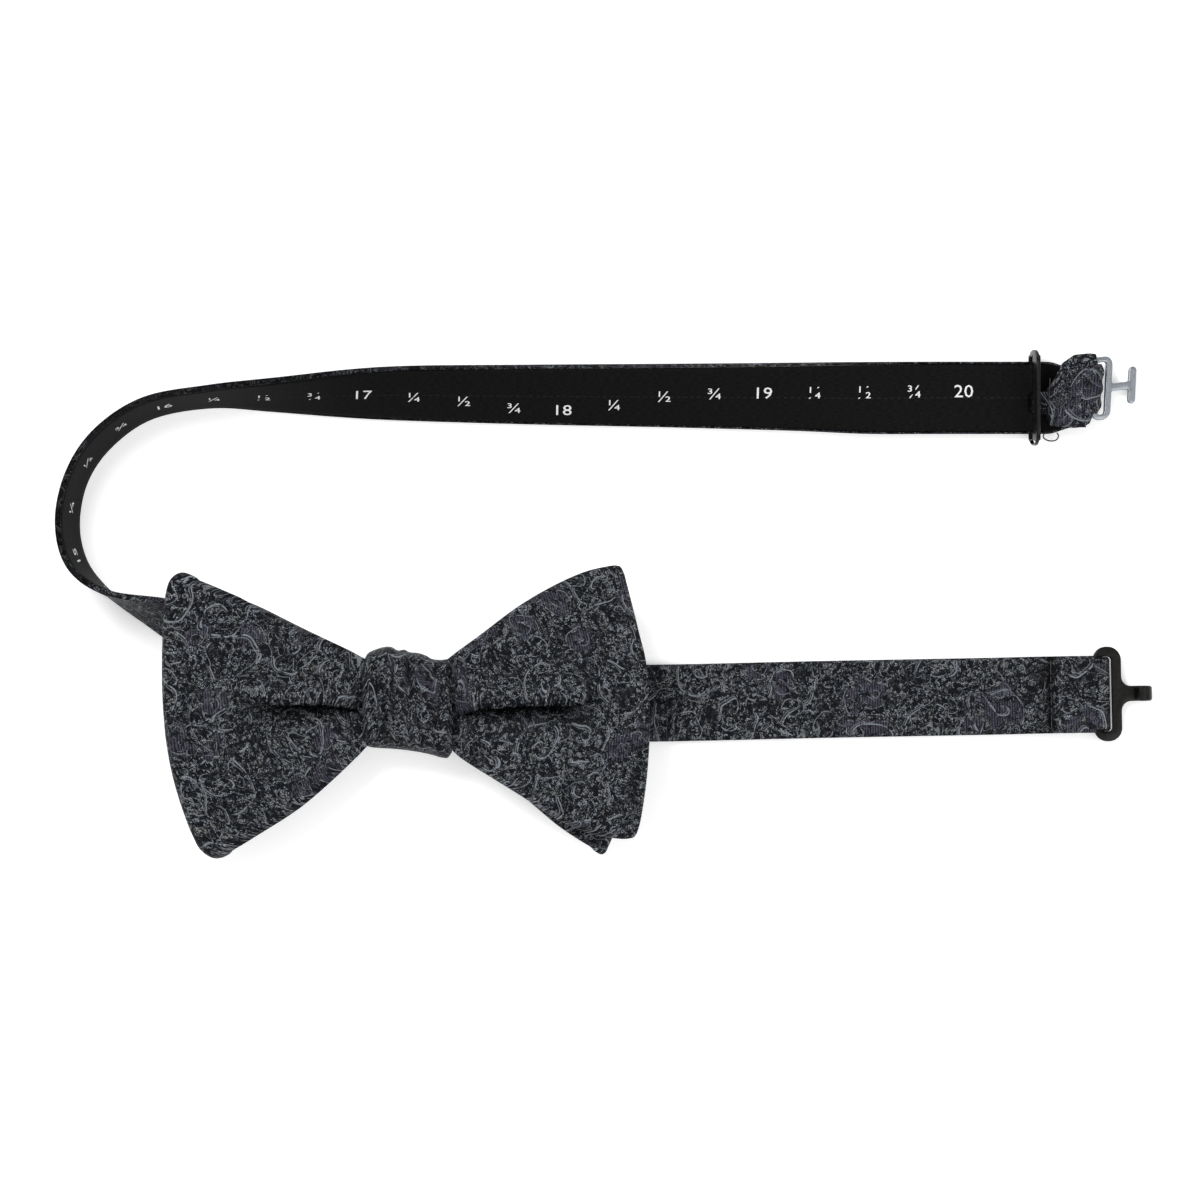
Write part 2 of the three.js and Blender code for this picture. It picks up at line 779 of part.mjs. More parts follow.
// A sleeve of cloth, open at the knot, and the interlining inside it.
// A loop's sleeve is open at both ends and a flat end's is closed at its last station.
function addWing(name, surface, stations, across, closed) {
  const outer = sheetSolid(surface, wingThickness, stations, across, 0);
  const last = stations.length - 1;
  const inner = closed ? stations.slice(0, last) : stations.slice();
  const end = inner.length - 1;
  const pocketStations = [inner[0] - 0.02, ...inner];
  if (!closed) pocketStations.push(inner[end] + 0.02);
  const coreStations = inner.slice();
  if (closed) coreStations[end] -= 0.012;
  const pocketThickness = wingThickness - 2 * wingCloth;
  const pocket = sheetSolid(surface, pocketThickness, pocketStations, across, sleeveHem);
  addPiece(name, geometryOf(solidOf(outer).subtract(solidOf(pocket))), faceCloth);
  addPiece(
    name + "_interlining",
    sheetSolid(surface, interliningThickness, coreStations, across, interliningInset),
    canvasCloth,
  );
}

const legSteps = 7;
const foldSteps = 6;
const endSteps = 9;
const acrossSteps = 6;
const loopStations = [
  ...evenSteps(0.02, 0.5 - foldShare, legSteps),
  ...evenSteps(0.5 - foldShare, 0.5 + foldShare, foldSteps).slice(1),
  ...evenSteps(0.5 + foldShare, 0.98, legSteps).slice(1),
];
const endStations = [...evenSteps(0.03, 0.97, endSteps), 1];
addWing("front_left_loop", loopSurface(leftWing, 1, frontPuff, true), loopStations, acrossSteps, false);
addWing("rear_left_end", singleLeg(leftWing, 0, 0.035, false, 0), endStations, acrossSteps, true);
addWing("rear_right_loop", loopSurface(rearRightWing, 0, rearPuff, false), loopStations, acrossSteps, false);
addWing("front_right_end", singleLeg(rightWing, 2, 0, true, frontEndGap), endStations, acrossSteps, true);

// ---- Knot ------------------------------------------------------------------------------------

// The wrap is a ring in the YZ plane run along X, drawn in a little at both ends.
const wrapShape = roundedRectangle(knotBottomY, 0, knotTopY, knotHeight, knotCornerRadius);
wrapShape.holes.push(
  roundedRectangle(
    knotBottomY + knotWrapThickness,
    knotWrapThickness,
    knotTopY - knotWrapThickness,
    knotHeight - knotWrapThickness,
    knotCornerRadius - knotWrapThickness,
  ),
);
const knotWidth = knotRight - knotLeft;
const wrap = new THREE.ExtrudeGeometry(wrapShape, {
  depth: 1,
  steps: 3,
  bevelEnabled: false,
  curveSegments: 3,
});
addPiece(
  "knot_wrap",
  bent(wrap, (y, z, along) => {
    const x = knotLeft + along * knotWidth;
    const drawIn = 1 - 0.06 * (2 * along - 1) ** 2;
    return new THREE.Vector3(x, y * drawIn, z * drawIn);
  }),
  faceCloth,
);

const coreShape = roundedRectangle(-9.4, 4.1, 9.8, knotHeight - knotWrapThickness - 0.5, 3.4);
const core = new THREE.ExtrudeGeometry(coreShape, {
  depth: 1,
  steps: 1,
  bevelEnabled: false,
  curveSegments: 4,
});
const coreHalf = knotEndX - 0.7;
addPiece(
  "knot_core",
  bent(core, (y, z, along) => new THREE.Vector3((2 * along - 1) * coreHalf, y, z)),
  faceCloth,
);

export default tie;
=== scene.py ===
# The looks of an adjustable self-tie bow tie, lying tied on its back: metres, +Z up.
# Shapes are worked out in millimetres and scaled by MM when a mesh is made.
import math

import bmesh
import bpy
import numpy as np
from mathutils import Matrix, Vector


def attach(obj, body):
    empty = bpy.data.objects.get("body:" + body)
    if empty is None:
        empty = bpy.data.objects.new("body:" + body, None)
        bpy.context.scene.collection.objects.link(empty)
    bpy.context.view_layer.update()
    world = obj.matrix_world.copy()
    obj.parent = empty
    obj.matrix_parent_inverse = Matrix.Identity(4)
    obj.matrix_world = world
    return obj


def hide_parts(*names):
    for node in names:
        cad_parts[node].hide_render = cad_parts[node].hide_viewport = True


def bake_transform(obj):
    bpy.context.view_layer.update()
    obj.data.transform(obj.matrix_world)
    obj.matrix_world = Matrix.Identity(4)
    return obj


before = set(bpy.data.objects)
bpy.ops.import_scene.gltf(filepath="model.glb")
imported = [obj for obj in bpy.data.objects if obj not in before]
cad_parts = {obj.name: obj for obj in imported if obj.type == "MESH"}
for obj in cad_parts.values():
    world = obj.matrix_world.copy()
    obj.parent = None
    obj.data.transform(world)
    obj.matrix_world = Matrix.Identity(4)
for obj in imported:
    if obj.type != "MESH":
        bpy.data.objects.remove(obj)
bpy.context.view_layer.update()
MM = 0.001
scene = bpy.context.scene
scene.view_settings.view_transform = "Standard"

# ---- Camera: straight above the tie ----------------------------------------------------------
VIEW_WIDTH = 304.8
VIEW_CENTRE = (49.0, 25.9)
CAMERA_HEIGHT = 4500.0
SENSOR = 36.0
camera_data = bpy.data.cameras.new("camera")
camera_data.sensor_width = SENSOR
camera_data.lens = SENSOR * (CAMERA_HEIGHT - 8) / VIEW_WIDTH
camera_data.clip_start = 0.01
camera = bpy.data.objects.new("camera", camera_data)
camera.location = (VIEW_CENTRE[0] * MM, VIEW_CENTRE[1] * MM, CAMERA_HEIGHT * MM)
scene.collection.objects.link(camera)
scene.camera = camera


# ---- Curves ----------------------------------------------------------------------------------
def spline(points, t, centripetal=False):
    """Catmull-Rom curve through points, at parameters t from 0 to 1."""
    p = np.asarray(points, float)
    spans = len(p) - 1
    padded = np.vstack([2 * p[0] - p[1], p, 2 * p[-1] - p[-2]])
    k = np.clip(np.asarray(t, float) * spans, 0, spans)
    i = np.minimum(k.astype(int), spans - 1)
    w = (k - i)[:, None]
    a, b, c, d = (padded[i + n] for n in range(4))
    if centripetal:
        gap = [np.maximum(np.sum((q - r) ** 2, 1) ** 0.25, 1e-4)[:, None] for q, r in ((a, b), (b, c), (c, d))]
        m1 = ((b - a) / gap[0] - (c - a) / (gap[0] + gap[1]) + (c - b) / gap[1]) * gap[1]
        m2 = ((c - b) / gap[1] - (d - b) / (gap[1] + gap[2]) + (d - c) / gap[2]) * gap[1]
    else:
        m1, m2 = (c - a) / 2, (d - b) / 2
    return (
        (2 * w**3 - 3 * w**2 + 1) * b
        + (w**3 - 2 * w**2 + w) * m1
        + (3 * w**2 - 2 * w**3) * c
        + (w**3 - w**2) * m2
    )


def run_length(points):
    return np.concatenate([[0], np.cumsum(np.linalg.norm(np.diff(points, axis=0), axis=1))])


def even_curve(points):
    """A curve through points whose parameter runs evenly along its length."""
    fine = spline(points, np.linspace(0, 1, 600), True)
    length = run_length(fine)
    return lambda t: np.stack(
        [np.interp(np.clip(t, 0, 1) * length[-1], length, fine[:, k]) for k in range(fine.shape[1])], -1
    )


def smoothstep(x, low, high):
    t = np.clip((np.asarray(x, float) - low) / (high - low), 0, 1)
    return t * t * (3 - 2 * t)


def lerp(a, b, t):
    return a + (b - a) * t


def unit(v):
    return v / np.maximum(np.linalg.norm(v, axis=-1, keepdims=True), 1e-12)


def ripple(x, seed, octaves=3):
    """Smooth, repeatable wrinkle noise from sines, about -1 to 1."""
    rng = np.random.default_rng(seed)
    total = 0
    for n in range(octaves):
        total = total + np.sin(x * (1.7**n) * rng.uniform(0.8, 1.2) + rng.uniform(0, 6.28)) / 1.5**n
    return total / 2


# ---- Meshes ----------------------------------------------------------------------------------
SMOOTH_DEG = 50


def make_mesh(name, vertices, faces, materials, face_material=None, corner_uv=None, shade=None):
    """A piece from points in millimetres; corner_uv holds one (u, v) in millimetres per corner."""
    mesh = bpy.data.meshes.new(name)
    mesh.from_pydata((np.asarray(vertices) * MM).tolist(), [], faces)
    if corner_uv is not None:
        layer = mesh.uv_layers.new(name="cloth")
        layer.data.foreach_set("uv", np.asarray(corner_uv, float).ravel())
    if shade is not None:
        attribute = mesh.attributes.new("shade", "FLOAT", "POINT")
        attribute.data.foreach_set("value", np.asarray(shade, float).ravel())
    for material in materials:
        mesh.materials.append(material)
    if face_material is not None:
        mesh.polygons.foreach_set("material_index", np.asarray(face_material, int))
    work = bmesh.new()
    work.from_mesh(mesh)
    bmesh.ops.recalc_face_normals(work, faces=work.faces)
    work.to_mesh(mesh)
    work.free()
    mesh.shade_smooth()
    mesh.set_sharp_from_angle(angle=math.radians(SMOOTH_DEG))
    piece = bpy.data.objects.new(name, mesh)
    scene.collection.objects.link(piece)
    return piece


def ring_tube(rings, uv_along, uv_around, cap_start=True, cap_end=True):
    """Vertices, faces and corner uvs of closed rings joined one after another."""
    count, size = rings.shape[:2]
    faces, uvs = [], []
    for i in range(count - 1):
        for k in range(size):
            n = (k + 1) % size
            faces.append((i * size + k, i * size + n, (i + 1) * size + n, (i + 1) * size + k))
            around = uv_around[i, k], uv_around[i, k + 1], uv_around[i + 1, k + 1], uv_around[i + 1, k]
            uvs += [
                (uv_along[i], around[0]),
                (uv_along[i], around[1]),
                (uv_along[i + 1], around[2]),
                (uv_along[i + 1], around[3]),
            ]
    for i, wanted in ((0, cap_start), (count - 1, cap_end)):
        if wanted:
            faces.append(tuple(range(i * size, (i + 1) * size)))
            uvs += [(uv_along[i], uv_around[i, k]) for k in range(size)]
    return rings.reshape(-1, 3), faces, uvs


# ---- Materials -------------------------------------------------------------------------------
class Graph:
    """A short way to write a node material."""

    def __init__(self, name):
        self.material = bpy.data.materials.new(name)
        self.material.use_nodes = True
        self.tree = self.material.node_tree
        self.shader = self.tree.nodes["Principled BSDF"]

    def put(self, socket, value):
        if isinstance(value, bpy.types.NodeSocket):
            self.tree.links.new(value, socket)
        elif value is not None:
            socket.default_value = value

    def node(self, kind, settings=(), **inputs):
        made = self.tree.nodes.new("ShaderNode" + kind)
        for key, value in dict(settings).items():
            setattr(made, key, value)
        for key, value in inputs.items():
            self.put(made.inputs[int(key[1:]) if key[0] == "_" else key.replace("_", " ")], value)
        return made

    def math(self, operation, a, b=None, c=None):
        made = self.tree.nodes.new("ShaderNodeMath")
        made.operation = operation
        for socket, value in zip(made.inputs, (a, b, c)):
            self.put(socket, value)
        return made.outputs[0]

    def vector(self, operation, a, b=None, scale=None):
        made = self.tree.nodes.new("ShaderNodeVectorMath")
        made.operation = operation
        self.put(made.inputs[0], a)
        self.put(made.inputs[1], b)
        if scale is not None:
            self.put(made.inputs["Scale"], scale)
        return made.outputs["Value"] if operation in ("LENGTH", "DISTANCE") else made.outputs["Vector"]

    def step(self, value, low, high, to_low=0.0, to_high=1.0):
        made = self.node("MapRange", {"interpolation_type": "SMOOTHSTEP"})
        for socket, v in zip(made.inputs, (value, low, high, to_low, to_high)):
            self.put(socket, v)
        return made.outputs[0]

    def noise(self, vector, scale, detail=2.0, rough=0.5, distortion=0.0):
        return self.node(
            "TexNoise", {"noise_dimensions": "2D"}, Vector=vector, Scale=scale, Detail=detail,
            Roughness=rough, Distortion=distortion,
        )

    def mix(self, factor, a, b, blend="MIX"):
        made = self.node("Mix", {"data_type": "RGBA", "blend_type": blend})
        self.put(made.inputs[0], factor)
        self.put(made.inputs[6], a)
        self.put(made.inputs[7], b)
        return made.outputs[2]

    def bump(self, height, distance, strength=1.0, normal=None):
        made = self.node("Bump", Height=height, Distance=distance, Strength=strength)
        self.put(made.inputs["Normal"], normal)
        return made.outputs[0]

    def uv(self):
        return self.node("UVMap", {"uv_map": "cloth"}).outputs[0]


def grey(value, tint=(1, 1, 1)):
    return (value * tint[0], value * tint[1], value * tint[2], 1)


SILVER = (0.91, 1.0, 1.10)
NAVY = (0.90, 0.86, 1.22)
WARM = (0.98, 1.0, 1.02)


def scroll_lines(g, point, cell, pitch, width, offset):
    """Spiral scroll lines, one spiral to a cell: line strength, per-cell chances and radius."""
    moved = g.vector("ADD", point, offset)
    cells = g.node("TexVoronoi", {"voronoi_dimensions": "2D"}, Vector=moved, Scale=1 / cell, Randomness=0.85)
    local = g.vector("SUBTRACT", moved, cells.outputs["Position"])
    parts = g.node("SeparateXYZ", _0=local).outputs
    radius = g.vector("LENGTH", local)
    turn = g.math("DIVIDE", g.math("ARCTAN2", parts[1], parts[0]), 2 * math.pi)
    chance = g.node("SeparateColor", _0=cells.outputs["Color"]).outputs
    hand = g.math("SUBTRACT", g.math("MULTIPLY", g.math("GREATER_THAN", chance[1], 0.5), 2), 1)
    phase = g.math("ADD", g.math("MULTIPLY", turn, hand), g.math("DIVIDE", radius, pitch))
    phase = g.math("ADD", phase, chance[0])
    away = g.math("MULTIPLY", g.math("ABSOLUTE", g.math("SUBTRACT", g.math("FRACT", phase), 0.5)), pitch)
    line = g.step(away, width, width * 0.35)
    return g.math("MULTIPLY", line, g.step(radius, cell * 0.6, cell * 0.45)), chance, radius


def petals(g, point, size, low, high, spread=0.95):
    """Small rounded leaves packed together, each with its own brightness."""
    cells = g.node(
        "TexVoronoi", {"voronoi_dimensions": "2D"}, Vector=point, Scale=1 / size, Randomness=spread
    )
    chance = g.node("SeparateColor", _0=cells.outputs["Color"]).outputs[0]
    body = g.step(cells.outputs["Distance"], 0.52, 0.16)
    return g.math("MULTIPLY", body, g.math("ADD", g.math("MULTIPLY", g.math("POWER", chance, 1.6), high - low), low))


def make_jacquard():
    """Black ground with leaves and florets in silver-grey threads, thin scrolls and ribbed navy grounds."""
    g = Graph("face_cloth")
    uv = g.uv()
    slow_warp = g.noise(uv, 0.10, 1.0).outputs["Color"]
    point = g.vector("ADD", uv, g.vector("SCALE", g.vector("SUBTRACT", slow_warp, (0.5, 0.5, 0.5)), scale=5.0))
    quick_warp = g.noise(uv, 1.1, 1.0).outputs["Color"]
    curled = g.vector("SCALE", g.vector("SUBTRACT", quick_warp, (0.5, 0.5, 0.5)), scale=1.7)
    curled = g.vector("ADD", point, curled)

    # Scrolls
    big, chance, radius = scroll_lines(g, point, 17.0, 5.2, 0.22, (3.0, 7.0, 0.0))
    inner, _, _ = scroll_lines(g, g.vector("ADD", point, (0.5, 0.35, 0.0)), 17.0, 5.2, 0.16, (3.0, 7.0, 0.0))
    small, chance2, radius2 = scroll_lines(g, point, 8.0, 2.3, 0.15, (41.0, 17.0, 0.0))
    gaps = g.noise(point, 0.30, 2.0).outputs[0]
    lines = g.math("MAXIMUM", big, g.math("MULTIPLY", inner, 0.55))
    lines = g.math("MULTIPLY", lines, g.step(gaps, 0.45, 0.53))
    lines = g.math("MAXIMUM", lines, g.math("MULTIPLY", small, g.step(gaps, 0.53, 0.45, 0.0, 0.7)))

    # Leaves, in threads that run mostly one way
    threads = g.node("Mapping", {"vector_type": "POINT"}, Vector=uv, Scale=(1.55, 1.0, 1.0)).outputs[0]
    weave = g.noise(threads, 2.8, 2.0, 0.75).outputs[0]
    aside = g.vector("ADD", curled, (9.3, 4.1, 0.0))
    leaves = g.math("MAXIMUM", petals(g, curled, 1.25, 0.0, 1.0), petals(g, aside, 0.7, 0.0, 0.9))
    zone = g.noise(point, 0.12, 2.0, 0.6).outputs[0]
    leaves = g.math("MULTIPLY", leaves, g.step(zone, 0.32, 0.62, 0.7, 1.12))
    leaves = g.math("MULTIPLY", leaves, g.step(weave, 0.38, 0.62, 0.1, 1.75))
    leaves = g.math("POWER", leaves, 1.6)

    # Ribbed grounds inside some scrolls
    axes = g.node("SeparateXYZ", _0=uv).outputs
    rib = g.math("ADD", g.math("MULTIPLY", g.math("SINE", g.math("MULTIPLY", axes[0], 2 * math.pi / 0.66)), 0.5), 0.5)
    in_rib = g.math("MULTIPLY", g.step(chance2[2], 0.76, 0.80), g.step(radius2, 4.2, 2.9))
    in_rib2 = g.math("MULTIPLY", g.step(chance[2], 0.82, 0.85), g.step(radius, 6.8, 5.2))
    in_rib = g.math("MAXIMUM", in_rib, in_rib2)
    in_rib = g.math("MULTIPLY", in_rib, g.step(g.noise(curled, 0.55, 1.0).outputs[0], 0.42, 0.52))

    ground = g.mix(g.step(weave, 0.3, 0.7), grey(0.001, (0.9, 0.95, 1.2)), grey(0.010, (0.9, 0.96, 1.3)))
    silver = g.mix(g.step(g.noise(uv, 0.35, 1.0).outputs[0], 0.4, 0.6), grey(0.28, SILVER), grey(0.235, WARM))
    colour = g.mix(leaves, ground, silver)
    ribs = g.mix(rib, grey(0.006, NAVY), grey(0.060, NAVY))
    colour = g.mix(g.math("MULTIPLY", in_rib, 0.72), colour, ribs)
    broken = g.step(weave, 0.28, 0.55, 0.3, 1.0)
    colour = g.mix(g.math("MULTIPLY", g.math("MULTIPLY", lines, broken), 0.85), colour, grey(0.24, SILVER))
    # Painted shade: the shade attribute darkens the cloth in pleats, knot creases, the turned band edge, the hem
    # crease and the slider tab.
    shade = g.node("Attribute", {"attribute_name": "shade"}).outputs["Fac"]
    lit = g.math("SUBTRACT", 1.0, shade)
    colour = g.mix(1.0, colour, g.node("CombineColor", _0=lit, _1=lit, _2=lit).outputs[0], "MULTIPLY")
    g.put(g.shader.inputs["Base Color"], colour)
    height = g.math("ADD", g.math("MULTIPLY", leaves, 0.8), lines)
    height = g.math("ADD", height, g.math("MULTIPLY", g.math("MULTIPLY", rib, in_rib), 0.4))
    fine = g.bump(height, 0.00009, 0.8)
    g.put(g.shader.inputs["Normal"], g.bump(weave, 0.00005, 0.5, fine))
    g.shader.inputs["Roughness"].default_value = 0.5
    g.shader.inputs["Specular IOR Level"].default_value = 0.03
    return g.material


def make_lining():
    """Black woven satin tape with fine cross ribs and a faint dashed middle line."""
    g = Graph("lining")
    uv = g.uv()
    axes = g.node("SeparateXYZ", _0=uv).outputs
    rib = g.math("ADD", g.math("MULTIPLY", g.math("SINE", g.math("MULTIPLY", axes[0], 2 * math.pi / 0.42)), 0.5), 0.5)
    threads = g.node("Mapping", {"vector_type": "POINT"}, Vector=uv, Scale=(0.6, 4.0, 1.0)).outputs[0]
    grain = g.noise(threads, 1.2, 3.0, 0.6).outputs[0]
    colour = g.mix(g.step(grain, 0.3, 0.75), grey(0.0042), grey(0.0085))
    dash = g.math("GREATER_THAN", g.math("FRACT", g.math("DIVIDE", axes[0], 1.7)), 0.45)
    middle = g.math("MULTIPLY", dash, g.step(g.math("ABSOLUTE", axes[1]), 0.16, 0.08))
    colour = g.mix(g.math("MULTIPLY", middle, 0.35), colour, grey(0.03))
    g.put(g.shader.inputs["Base Color"], colour)
    relief = g.bump(rib, 0.00003, 0.5)
    g.put(g.shader.inputs["Normal"], g.bump(grain, 0.00003, 0.6, relief))
    g.shader.inputs["Roughness"].default_value = 0.5
    g.shader.inputs["Specular IOR Level"].default_value = 0.01
    return g.material


def make_plain(name, colour, roughness, metallic=0.0, grain=2.5, depth=0.00002, coat=0.0, specular=0.5):
    """A material with a fine grain in its colour, roughness and relief, in object space."""
    g = Graph(name)
    place = g.node("TexCoord").outputs["Object"]
    noise = g.node("TexNoise", Vector=place, Scale=grain / MM, Detail=3.0, Roughness=0.6).outputs[0]
    dark = tuple(0.8 * c for c in colour) + (1,)
    light = tuple(min(1, 1.15 * c) for c in colour) + (1,)
    g.put(g.shader.inputs["Base Color"], g.mix(g.step(noise, 0.3, 0.7), dark, light))
    g.put(g.shader.inputs["Roughness"], g.step(noise, 0.3, 0.7, roughness * 0.85, roughness * 1.15))
    g.put(g.shader.inputs["Normal"], g.bump(noise, depth, 0.4))
    g.shader.inputs["Metallic"].default_value = metallic
    g.shader.inputs["Coat Weight"].default_value = coat
    g.shader.inputs["Specular IOR Level"].default_value = specular
    return g.material


JACQUARD = make_jacquard()
LINING = make_lining()
CANVAS = make_plain("interlining", (0.62, 0.58, 0.5), 0.9, grain=1.6, depth=0.00012)
THREAD = make_plain("thread", (0.012, 0.012, 0.014), 0.6, grain=6.0)
NUMERAL = make_plain("numeral_thread", (0.62, 0.63, 0.64), 0.7, grain=5.0)
BLACK_METAL = make_plain("black_metal", (0.006, 0.0055, 0.005), 0.3, 0.0, 0.8, specular=0.16)
NICKEL = make_plain("nickel", (0.27, 0.29, 0.315), 0.38, 1.0, 3.0)

# ---- Neck bands ------------------------------------------------------------------------------
CLOTH = 0.45
PLY_GAP = 0.15
EDGE_GAP = 0.25
BAND = 3 * CLOTH + 2 * PLY_GAP
REST = 0.1
LONG_WIDTH = 18.4
SHORT_WIDTH = 19.6
STRAIGHT_Y = 77.3
STRAIGHT_LIFT = 1.6
KNOT_LIFT = 1.9


class Path:
    """Frames along a band: its middle, its direction, and the directions across it and to its face."""

    def __init__(self, centre, across, face):
        self.centre, self.across, self.face = centre, across, face
        self.length = run_length(centre)

    @classmethod
    def of_stops(cls, stops, width):
        stops = np.array(stops, float)
        roll = np.radians(stops[:, 2])
        edge = width / 2 * np.sin(roll) + BAND / 2 * np.abs(np.cos(roll))
        middle = np.column_stack([stops[:, 0], stops[:, 1], REST + stops[:, 3] + edge])
        t = np.linspace(0, 1, 1600)
        centre = spline(middle, t)
        turned = spline(roll[:, None], t)[:, 0][:, None]
        along = unit(np.gradient(centre, axis=0))
        outward = unit(np.cross([0, 0, 1], along))
        face = np.cross(along, outward) * np.cos(turned) + outward * np.sin(turned)
        return cls(centre, np.cross(face, along), face)

    @classmethod
    def in_plane(cls, points, origin, turn=0.0):
        """A path through points in the XZ plane, its face up where it runs to +X."""
        flat = even_curve(points)(np.linspace(0, 1, 400))
        local = np.column_stack([flat[:, 0], np.zeros(len(flat)), flat[:, 1]])
        c, s = math.cos(turn), math.sin(turn)
        spin = np.array([[c, -s, 0], [s, c, 0], [0, 0, 1]])
        centre = local @ spin.T + np.asarray(origin)
        along = unit(np.gradient(centre, axis=0))
        across = np.tile(spin @ [0, -1, 0], (len(centre), 1))
        return cls(centre, across, np.cross(along, across))

    def at(self, s):
        s = np.asarray(s, float)
        row = [np.stack([np.interp(s, self.length, m[:, k]) for k in range(3)], -1)
               for m in (self.centre, self.across, self.face)]
        return row[0], unit(row[1]), unit(row[2])

    def point(self, s, x, y):
        centre, across, face = self.at(s)
        return centre + across * np.asarray(x)[..., None] + face * np.asarray(y)[..., None]


def channel_section(width, crown=0.22):
    """Face cloth: rounded edges folded round the inner layers. Rows are (x, y)."""
    w, h, t, r = width / 2, BAND / 2, CLOTH, 0.55
    turn = np.linspace(0, math.pi / 2, 5)
    across = np.linspace(-1, 1, 25)
    top = [(x * (w - r), h + crown * (1 - x**4)) for x in across]
    left = [(-w + r - r * math.sin(a), h - r + r * math.cos(a)) for a in turn[1:]]
    right = [(w - r + r * math.sin(a), h - r + r * math.cos(a)) for a in turn[1:]][::-1]
    inside = [(x * (w - t), h - t + crown * (1 - x**4)) for x in across]
    return top[::-1] + left + [(-w, -h + 0.1), (-w + 0.12, -h), (-w + t - 0.1, -h), (-w + t, -h + 0.1)] + inside + [
        (w - t, -h + 0.1), (w - t + 0.1, -h), (w - 0.12, -h), (w, -h + 0.1)] + right


def slab_section(width, low, high, crown=0.0, r=0.12):
    w = width / 2
    across = np.linspace(-1, 1, 17)
    top = [(x * (w - r), high + crown * (1 - x**4)) for x in across][::-1]
    base = [(x * (w - r), low + crown * (1 - x**4)) for x in across]
    return top + [(-w, high - r), (-w, low + r)] + base + [(w, low + r), (w, high - r)]


def sweep(name, path, section, s_values, materials, width_change=None, lining_side=None, uv_shift=(0, 0)):
    """A closed section run along a path. Faces that look to the lining side take materials[1]."""
    section = np.array(section)
    s = np.asarray(s_values, float)
    grow = np.zeros_like(s) if width_change is None else width_change(s)
    half = np.abs(section[:, 0]).max()
    x = section[None, :, 0] * (1 + grow[:, None] / half)
    y = np.broadcast_to(section[None, :, 1], x.shape)
    rings = path.point(np.broadcast_to(s[:, None], x.shape), x, y)
    around = run_length(np.vstack([section, section[:1]]))
    around = np.broadcast_to(around[None, :] + uv_shift[1], (len(s), len(section) + 1))
    if lining_side == "flat":
        around = np.column_stack([x, x[:, :1]])
    vertices, faces, uvs = ring_tube(rings, s + uv_shift[0], around)
    which = None
    if len(materials) > 1:
        middle_y = (section[:, 1] + np.roll(section[:, 1], -1)) / 2
        middle_x = np.abs(section[:, 0] + np.roll(section[:, 0], -1)) / 2
        inner = (middle_y < 0) & (middle_x < half - 0.7)
        which = np.concatenate([np.tile(inner.astype(int), len(s) - 1), [0, 0]])
    return make_mesh(name, vertices, faces, materials, which, uvs)


LONG_STOPS = [
    (-3.5, 0, 0, KNOT_LIFT), (-12, 1.2, 1, KNOT_LIFT), (-28, 7, 8, 0), (-45, 15, 32, 0),
    (-61.5, 21.8, 63, 0), (-75, 27.2, 88, 0), (-83.5, 34.5, 101, 0), (-86.3, 45, 104, 0),
    (-84, 57, 104, 0), (-77.3, 67, 105, 0), (-66, 74.6, 104, 0), (-50, 77.6, 104, 0),
    (-33, 78.1, 114, 0), (-5, 78.5, 133, 0), (30, 78.2, 141, 0), (70, 77.9, 148, 0.3),
    (100, 77.6, 157, 0.9), (118, STRAIGHT_Y, 171, STRAIGHT_LIFT), (133, STRAIGHT_Y, 180, STRAIGHT_LIFT),
    (148, STRAIGHT_Y, 180, STRAIGHT_LIFT), (161.8, STRAIGHT_Y, 180, STRAIGHT_LIFT),
]
SHORT_STOPS = [
    (3.5, 0, 0, KNOT_LIFT), (12, -0.1, 0, KNOT_LIFT), (28, -0.2, 0, 0), (62, -0.35, 0, 0),
    (106, 0.6, 0, 0), (148, 1.4, 0, 0.05), (158, 1.65, 0, 1.2), (166, 1.8, 0, 2.6), (175.1, 1.95, 0, 4.15),
]
long_path = Path.of_stops(LONG_STOPS, LONG_WIDTH)
short_path = Path.of_stops(SHORT_STOPS, SHORT_WIDTH)
LONG_LENGTH = long_path.length[-1]
SHORT_LENGTH = short_path.length[-1]
HOLLOW = 2 * (CLOTH + EDGE_GAP)


def declare_cloth(piece, node, body="tie"):
    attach(piece, body)
    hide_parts(*([node] if isinstance(node, str) else node))


def add_band(path, width, names, shift):
    """Face cloth, interlining and lining of one band."""
    stations = np.linspace(0, path.length[-1], int(path.length[-1] / 0.9))
    face = sweep(names[0] + "_cloth", path, channel_section(width), stations, [JACQUARD], uv_shift=(shift, 0))
    core = sweep(
        names[1] + "_canvas", path, slab_section(width - HOLLOW, -CLOTH / 2, CLOTH / 2), stations[::2], [CANVAS]
    )
    lining = sweep(
        names[2] + "_woven", path,
        slab_section(width - HOLLOW, -BAND / 2, CLOTH - BAND / 2, crown=-0.06),
        stations, [LINING], lining_side="flat",
    )
    declare_cloth(face, names[0])
    declare_cloth(core, names[1])
    declare_cloth(lining, names[2])
    return face, core, lining


def shade_points(piece, along, count, mask=None):
    """Darkens a swept piece: a value for each station, times one for each point round its section."""
    mask = np.ones(count) if mask is None else mask
    values = np.outer(along, mask).ravel()
    layer = piece.data.attributes.new("shade", "FLOAT", "POINT")
    layer.data.foreach_set("value", np.append(values, np.zeros(len(piece.data.vertices) - len(values))))


long_face, _, _ = add_band(long_path, LONG_WIDTH, ("long_band_face", "long_band_interlining", "size_tape"), 0)
short_face, _, _ = add_band(
    short_path, SHORT_WIDTH, ("short_band_face", "short_band_interlining", "short_band_lining"), 500
)
